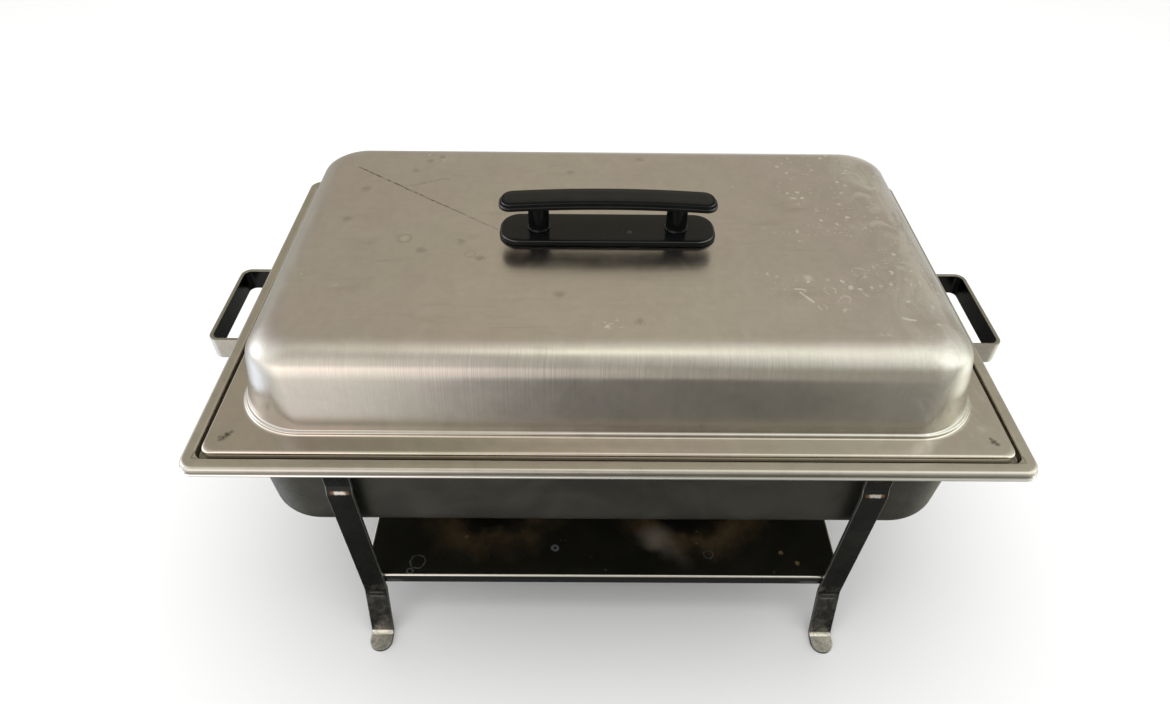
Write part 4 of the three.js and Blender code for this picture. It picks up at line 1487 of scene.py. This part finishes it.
frame_band()
legs()
side_handles()
fuel_shelf()

# ---------------------------------------------------------------- burners
CUP_R, CUP_T = 44.0, 0.9
PIVOT_REACH = 34.0  # from the burner's axis to the damper's pivot
PIVOT_HOLE_R = 2
# rolled stiffening bead: radius change, height change
BEAD = [(0, -2), (-0.15, -1.4), (-0.8, -0.6), (-1, 0), (-0.8, 0.6), (-0.15, 1.4), (0, 2)]


def burner_cup(side, centre, material):
    low, high = box_mm("burner_cup_" + side)
    z, top = low[2], high[2]
    inner_r = CUP_R - CUP_T
    beads = (z + 9, z + 28)
    profile = [
        (0, z + 0.8), (30, z + 0.8), (33, z + 0.2), (34, z), (41.6, z),
        (42.9, z + 0.35), (43.7, z + 1.1), (CUP_R, z + 2.2),
    ]
    for bead in beads:
        profile += [(CUP_R + out, bead + up) for out, up in BEAD]
    profile += [(CUP_R, top - 0.3), (43.8, top), (43.3, top), (inner_r, top - 0.3)]
    for bead in reversed(beads):
        profile += [(inner_r + out, bead - up) for out, up in BEAD]
    profile += [
        (inner_r, z + 2.9), (42.6, z + 1.9), (41.5, z + 1.2), (34.2, z + 1.1),
        (33.2, z + 1.2), (30.2, z + 1.7), (0, z + 1.7),
    ]
    cup = lathe("burner_cup_shell_" + side, profile, 72, centre, 35.0)
    attach(cup, "burner_" + side, "burner_cup_" + side, material)


def burner_lid(side, centre, pivot, material):
    low, high = box_mm("burner_lid_" + side)
    skirt, top = low[2], high[2]
    under = top - 1.0
    profile = [
        (24.0, under + 0.3), (24.3, under), (44.4, under), (44.6, under - 0.3),
        (44.6, skirt + 0.4), (44.8, skirt), (45.2, skirt), (45.5, skirt + 0.4),
        (45.5, top - 1.6), (45.25, top - 0.8), (44.6, top - 0.25), (43.6, top),
        (40.0, top), (39.5, top - 0.25), (38.2, top - 0.25), (37.7, top),
        (24.3, top), (24.0, top - 0.3),
    ]
    lid = lathe("burner_lid_shell_" + side, profile, 72, centre, 35.0)
    drill(lid, PIVOT_HOLE_R, under - 3, top + 3, pivot, 35.0, sides=24)
    attach(lid, "burner_" + side, "burner_lid_" + side, material)


def burner_damper(side, sign, centre, pivot, material):
    """A disc with an ear at its pivot and a tongue bent up at the front."""
    low, high = box_mm("burner_damper_" + side)
    bottom = low[2]
    disc_r, ear_r, neck = 28.0, 6.0, 5.5
    # outline: x towards the pivot, y, and the outward direction
    outline = []
    start = asin(neck / disc_r)
    for k in range(65):
        angle = start + (2 * pi - 2 * start) * k / 64
        x, y = cos(angle), sin(angle)
        outline.append((disc_r * x, disc_r * y, x, y))
    start = pi - asin(neck / ear_r)
    for k in range(17):
        angle = -start + 2 * start * k / 16
        x, y = cos(angle), sin(angle)
        outline.append((PIVOT_REACH + ear_r * x, ear_r * y, x, y))
    shape = Shape()
    rows = []
    # inset and height of the rounded edge
    for inset, up in ((0.35, 0), (0.1, 0.1), (0, 0.35), (0, 0.65), (0.1, 0.9), (0.35, 1.0)):
        points = [
            (centre[0] - sign * (x - inset * out_x), centre[1] + (y - inset * out_y), bottom + up)
            for x, y, out_x, out_y in outline
        ]
        rows.append(shape.add(points))
    for a, b in zip(rows[:-1], rows[1:]):
        shape.bridge(a, b)
    shape.cap(rows[0])
    shape.cap(rows[-1])
    disc = shape.make("burner_damper_plate_" + side, 35.0)
    middle, front = bottom + 0.5, -low[1] - 0.5
    path = Path(fillet([(22, middle), (front, middle), (front, high[2])], [2.2], steps=12))

    def place(point, across):
        return centre[0] + across, centre[1] - point[0], point[1]

    boolean(disc, bent_plate("tongue", path, 12.0, 0.94, place, edge=0.2), "UNION", 35.0)
    drill(disc, PIVOT_HOLE_R, bottom - 3, bottom + 4, pivot, 35.0, sides=24)
    attach(disc, "damper_" + side, "burner_damper_" + side, material)


def burner_rivet(side, pivot):
    low, high = box_mm("burner_pivot_" + side)
    z, top = low[2], high[2]
    profile = [
        (0, z), (2.6, z + 0.05), (3.2, z + 0.35), (3.4, z + 0.8), (3.4, z + 1.3), (1.6, z + 1.3),
        (1.6, top - 1.2), (3.4, top - 1.2), (3.3, top - 0.75), (2.7, top - 0.3),
        (1.6, top - 0.05), (0, top),
    ]
    rivet = lathe("burner_rivet_" + side, profile, 32, pivot, 30.0)
    attach(rivet, "burner_" + side, "burner_pivot_" + side, ZINC)


for side, sign in SIDES:
    low, high = box_mm("burner_cup_" + side)
    centre = ((low[0] + high[0]) / 2, (low[1] + high[1]) / 2)
    pivot = (centre[0] - sign * PIVOT_REACH, centre[1])
    suffix = "l" if centre[0] * MM < 0 else "r"
    cup_steel = burner_steel("burner_steel_" + suffix, centre[0] * MM, hot=False)
    hot_steel = burner_steel("burner_steel_hot_" + suffix, centre[0] * MM, hot=True)
    burner_cup(side, centre, cup_steel)
    burner_lid(side, centre, pivot, hot_steel)
    burner_damper(side, sign, centre, pivot, hot_steel)
    burner_rivet(side, pivot)

# ---------------------------------------------------------------- studio glow
# Soft lights of the studio as polished metal sees them: elevation and azimuth in degrees
# (0 is towards -Y, 90 towards +X), tightness, colour added to the base.
GLOW_BASE = (0.47, 0.44, 0.37)
GLOW = (
    (90, 0, 14, (0.44, 0.41, 0.34)),
    (81, 5, 110, (0.80, 0.80, 0.72)),
    (43, -178, 10, (0.15, 0.12, 0.06)),
    (52, 2, 12, (-0.15, -0.14, -0.12)),
    (-24, -22, 20, (0.30, 0.28, 0.27)),
    (45, 75, 6, (1.31, 1.39, 1.35)),
    (15, 90, 30, (0.90, 0.95, 0.90)),
    (-15, 90, 14, (0.95, 0.98, 0.88)),
    (45, -90, 14, (0.42, 0.44, 0.46)),
    (15, -60, 6, (1.02, 1.01, 1.04)),
    (15, -105, 14, (0.97, 1.03, 1.14)),
    (20, -98, 45, (1.50, 1.56, 1.64)),
    (14, -22, 22, (0.74, 0.66, 0.67)),
    (0, -30, 14, (0.86, 0.76, 0.68)),
    (44, -27, 40, (0.42, 0.39, 0.36)),
    (20, 12, 14, (-0.13, -0.12, -0.10)),
    (-30, -90, 14, (0.92, 1.02, 1.18)),
    (-33, 98, 16, (0.42, 0.38, 0.28)),
    (-15, 165, 14, (0.46, 0.47, 0.48)),
)


def studio_glow():
    """Node group from a direction to the glow seen that way."""
    tree = bpy.data.node_groups.new("studio_glow", "ShaderNodeTree")
    tree.interface.new_socket("Direction", in_out="INPUT", socket_type="NodeSocketVector")
    tree.interface.new_socket("Glow", in_out="OUTPUT", socket_type="NodeSocketColor")
    group_input = tree.nodes.new("NodeGroupInput")
    group_output = tree.nodes.new("NodeGroupOutput")
    direction = vector_math(tree, "NORMALIZE", Signal(tree, group_input.outputs[0]))
    total = GLOW_BASE
    for elevation, azimuth, tightness, colour in GLOW:
        up, turn = radians(elevation), radians(azimuth)
        centre = (sin(turn) * cos(up), -cos(turn) * cos(up), sin(up))
        inputs = {0: direction, 1: centre}
        aligned = node(tree, "VectorMath", inputs, output="Value", operation="DOT_PRODUCT")
        exponent = calc(tree, "MULTIPLY_ADD", aligned, tightness, -tightness)
        inputs = {0: colour, "Scale": calc(tree, "EXPONENT", exponent)}
        total = vector_math(tree, "ADD", node(tree, "VectorMath", inputs, operation="SCALE"), total)
    plug(tree, group_output.inputs[0], total)
    return tree


# ---------------------------------------------------------------- floor
def floor_material(glow):
    """Pale to the eye; to reflection rays it glows as bright as the glow in that direction, with
    painted shadow under the object and painted shade in front.
    """
    m = Shader("studio_floor")
    x, y, _ = m.axes
    matt = m.principled(
        Base_Color=m.noise(0.8, detail=3).colours((0.87, 0.87, 0.868), (0.90, 0.90, 0.897)),
        Roughness=0.8,
        Specular_IOR_Level=0.1,
    )
    incoming = node(m.tree, "NewGeometry", output="Incoming")
    view = vector_math(m.tree, "MULTIPLY", incoming, (-1.0, -1.0, -1.0))
    seen = node(m.tree, "Group", {0: view}, node_tree=glow)
    # painted shadow: darker under the object
    away = length(largest(abs(x) - 0.20, 0.0), largest(abs(y) - 0.12, 0.0))
    dimming = away.ramp(0.0, 0.34, 0.16, 1.0)
    # whoever stands in front shades a patch of it
    shade = x.rise(-0.42, -0.04) * x.fall(0.22, 0.75)
    shade = shade * (y.fall(-0.36, -0.26) * y.rise(-2.2, -1.2))
    dimming = dimming * (1.0 - shade * 0.60)
    cooler = seen.times((1.0, 1.03, 1.08))
    emission = node(m.tree, "Emission", {0: cooler.shade(dimming)})
    glossy_ray = node(m.tree, "LightPath", output="Is Glossy Ray")
    surface = node(m.tree, "MixShader", {0: glossy_ray, 1: matt, 2: emission})
    plug(m.tree, m.output.inputs[0], surface)
    if hasattr(m.material, "cycles"):  # absent when Cycles is not enabled
        m.material.cycles.emission_sampling = "NONE"
    return m.material


def studio_floor(glow):
    shape = Shape()
    half, squares = 6000, 24
    steps = [-half + 2 * half * i / squares for i in range(squares + 1)]
    rows = [shape.add([(x, y, -0.05) for x in steps]) for y in steps]
    for a, b in zip(rows[:-1], rows[1:]):
        shape.bridge(a, b, closed=False)
    floor = shape.make("studio_floor")
    floor.data.materials.append(floor_material(glow))


# ---------------------------------------------------------------- world, lights, camera
def studio_world(glow):
    """Even light for everything, with the glow in reflections."""
    world = bpy.data.worlds.new("studio")
    bpy.context.scene.world = world
    world.use_nodes = True
    tree = world.node_tree
    tree.nodes.clear()
    output = tree.nodes.new("ShaderNodeOutputWorld")
    direction = node(tree, "TexCoord", output="Generated")
    reflected = node(tree, "Background", {0: node(tree, "Group", {0: direction}, node_tree=glow)})
    even = node(tree, "Background", {0: (0.93, 0.93, 0.93)})
    glossy_ray = node(tree, "LightPath", output="Is Glossy Ray")
    plug(tree, output.inputs[0], node(tree, "MixShader", {0: glossy_ray, 1: even, 2: reflected}))
    if hasattr(world, "cycles"):  # absent when Cycles is not enabled
        world.cycles.sampling_method = "NONE"


def area_light(name, location, target, size, power, colour):
    """Rectangular light aimed at target and left out of reflections."""
    data = bpy.data.lights.new(name, "AREA")
    data.shape = "RECTANGLE"
    data.size, data.size_y = size
    data.energy = power
    data.color = colour
    light = bpy.data.objects.new(name, data)
    bpy.context.scene.collection.objects.link(light)
    light.location = location
    light.rotation_mode = "QUATERNION"
    aim = Vector(target) - Vector(location)
    light.rotation_quaternion = aim.to_track_quat("-Z", "Y")
    light.visible_glossy = False


def add_camera():
    data = bpy.data.cameras.new("camera")
    camera = bpy.data.objects.new("camera", data)
    bpy.context.scene.collection.objects.link(camera)
    data.sensor_fit = "HORIZONTAL"
    data.sensor_width = 36.0
    data.lens = 24.09230769
    data.clip_start, data.clip_end = 0.01, 50.0
    # columns: the camera's right, up and backward directions, and its place
    camera.matrix_world = Matrix(
        (
            (0.99996806, -0.00663768, -0.00445153, -0.01937),
            (0.00130173, 0.68481475, -0.72871603, -0.50559),
            (0.00788546, 0.72868697, 0.68480152, 0.65613),
            (0, 0, 0, 1),
        )
    )
    bpy.context.scene.camera = camera


glow = studio_glow()
studio_floor(glow)
studio_world(glow)
area_light(
    "key_overhead",
    location=(0.0, 0.1, 2.4),
    target=(0, 0, 0.2),
    size=(2.6, 2.0),
    power=26,
    colour=(1.0, 0.99, 0.975),
)
area_light(
    "fill_front_left",
    location=(-1.5, -1.7, 1.1),
    target=(-0.1, -0.1, 0.2),
    size=(0.9, 0.7),
    power=4,
    colour=(1.0, 0.97, 0.95),
)
add_camera()
view = bpy.context.scene.view_settings
view.view_transform = "Standard"
view.look = "None"
view.exposure = 0.0
view.gamma = 1.0
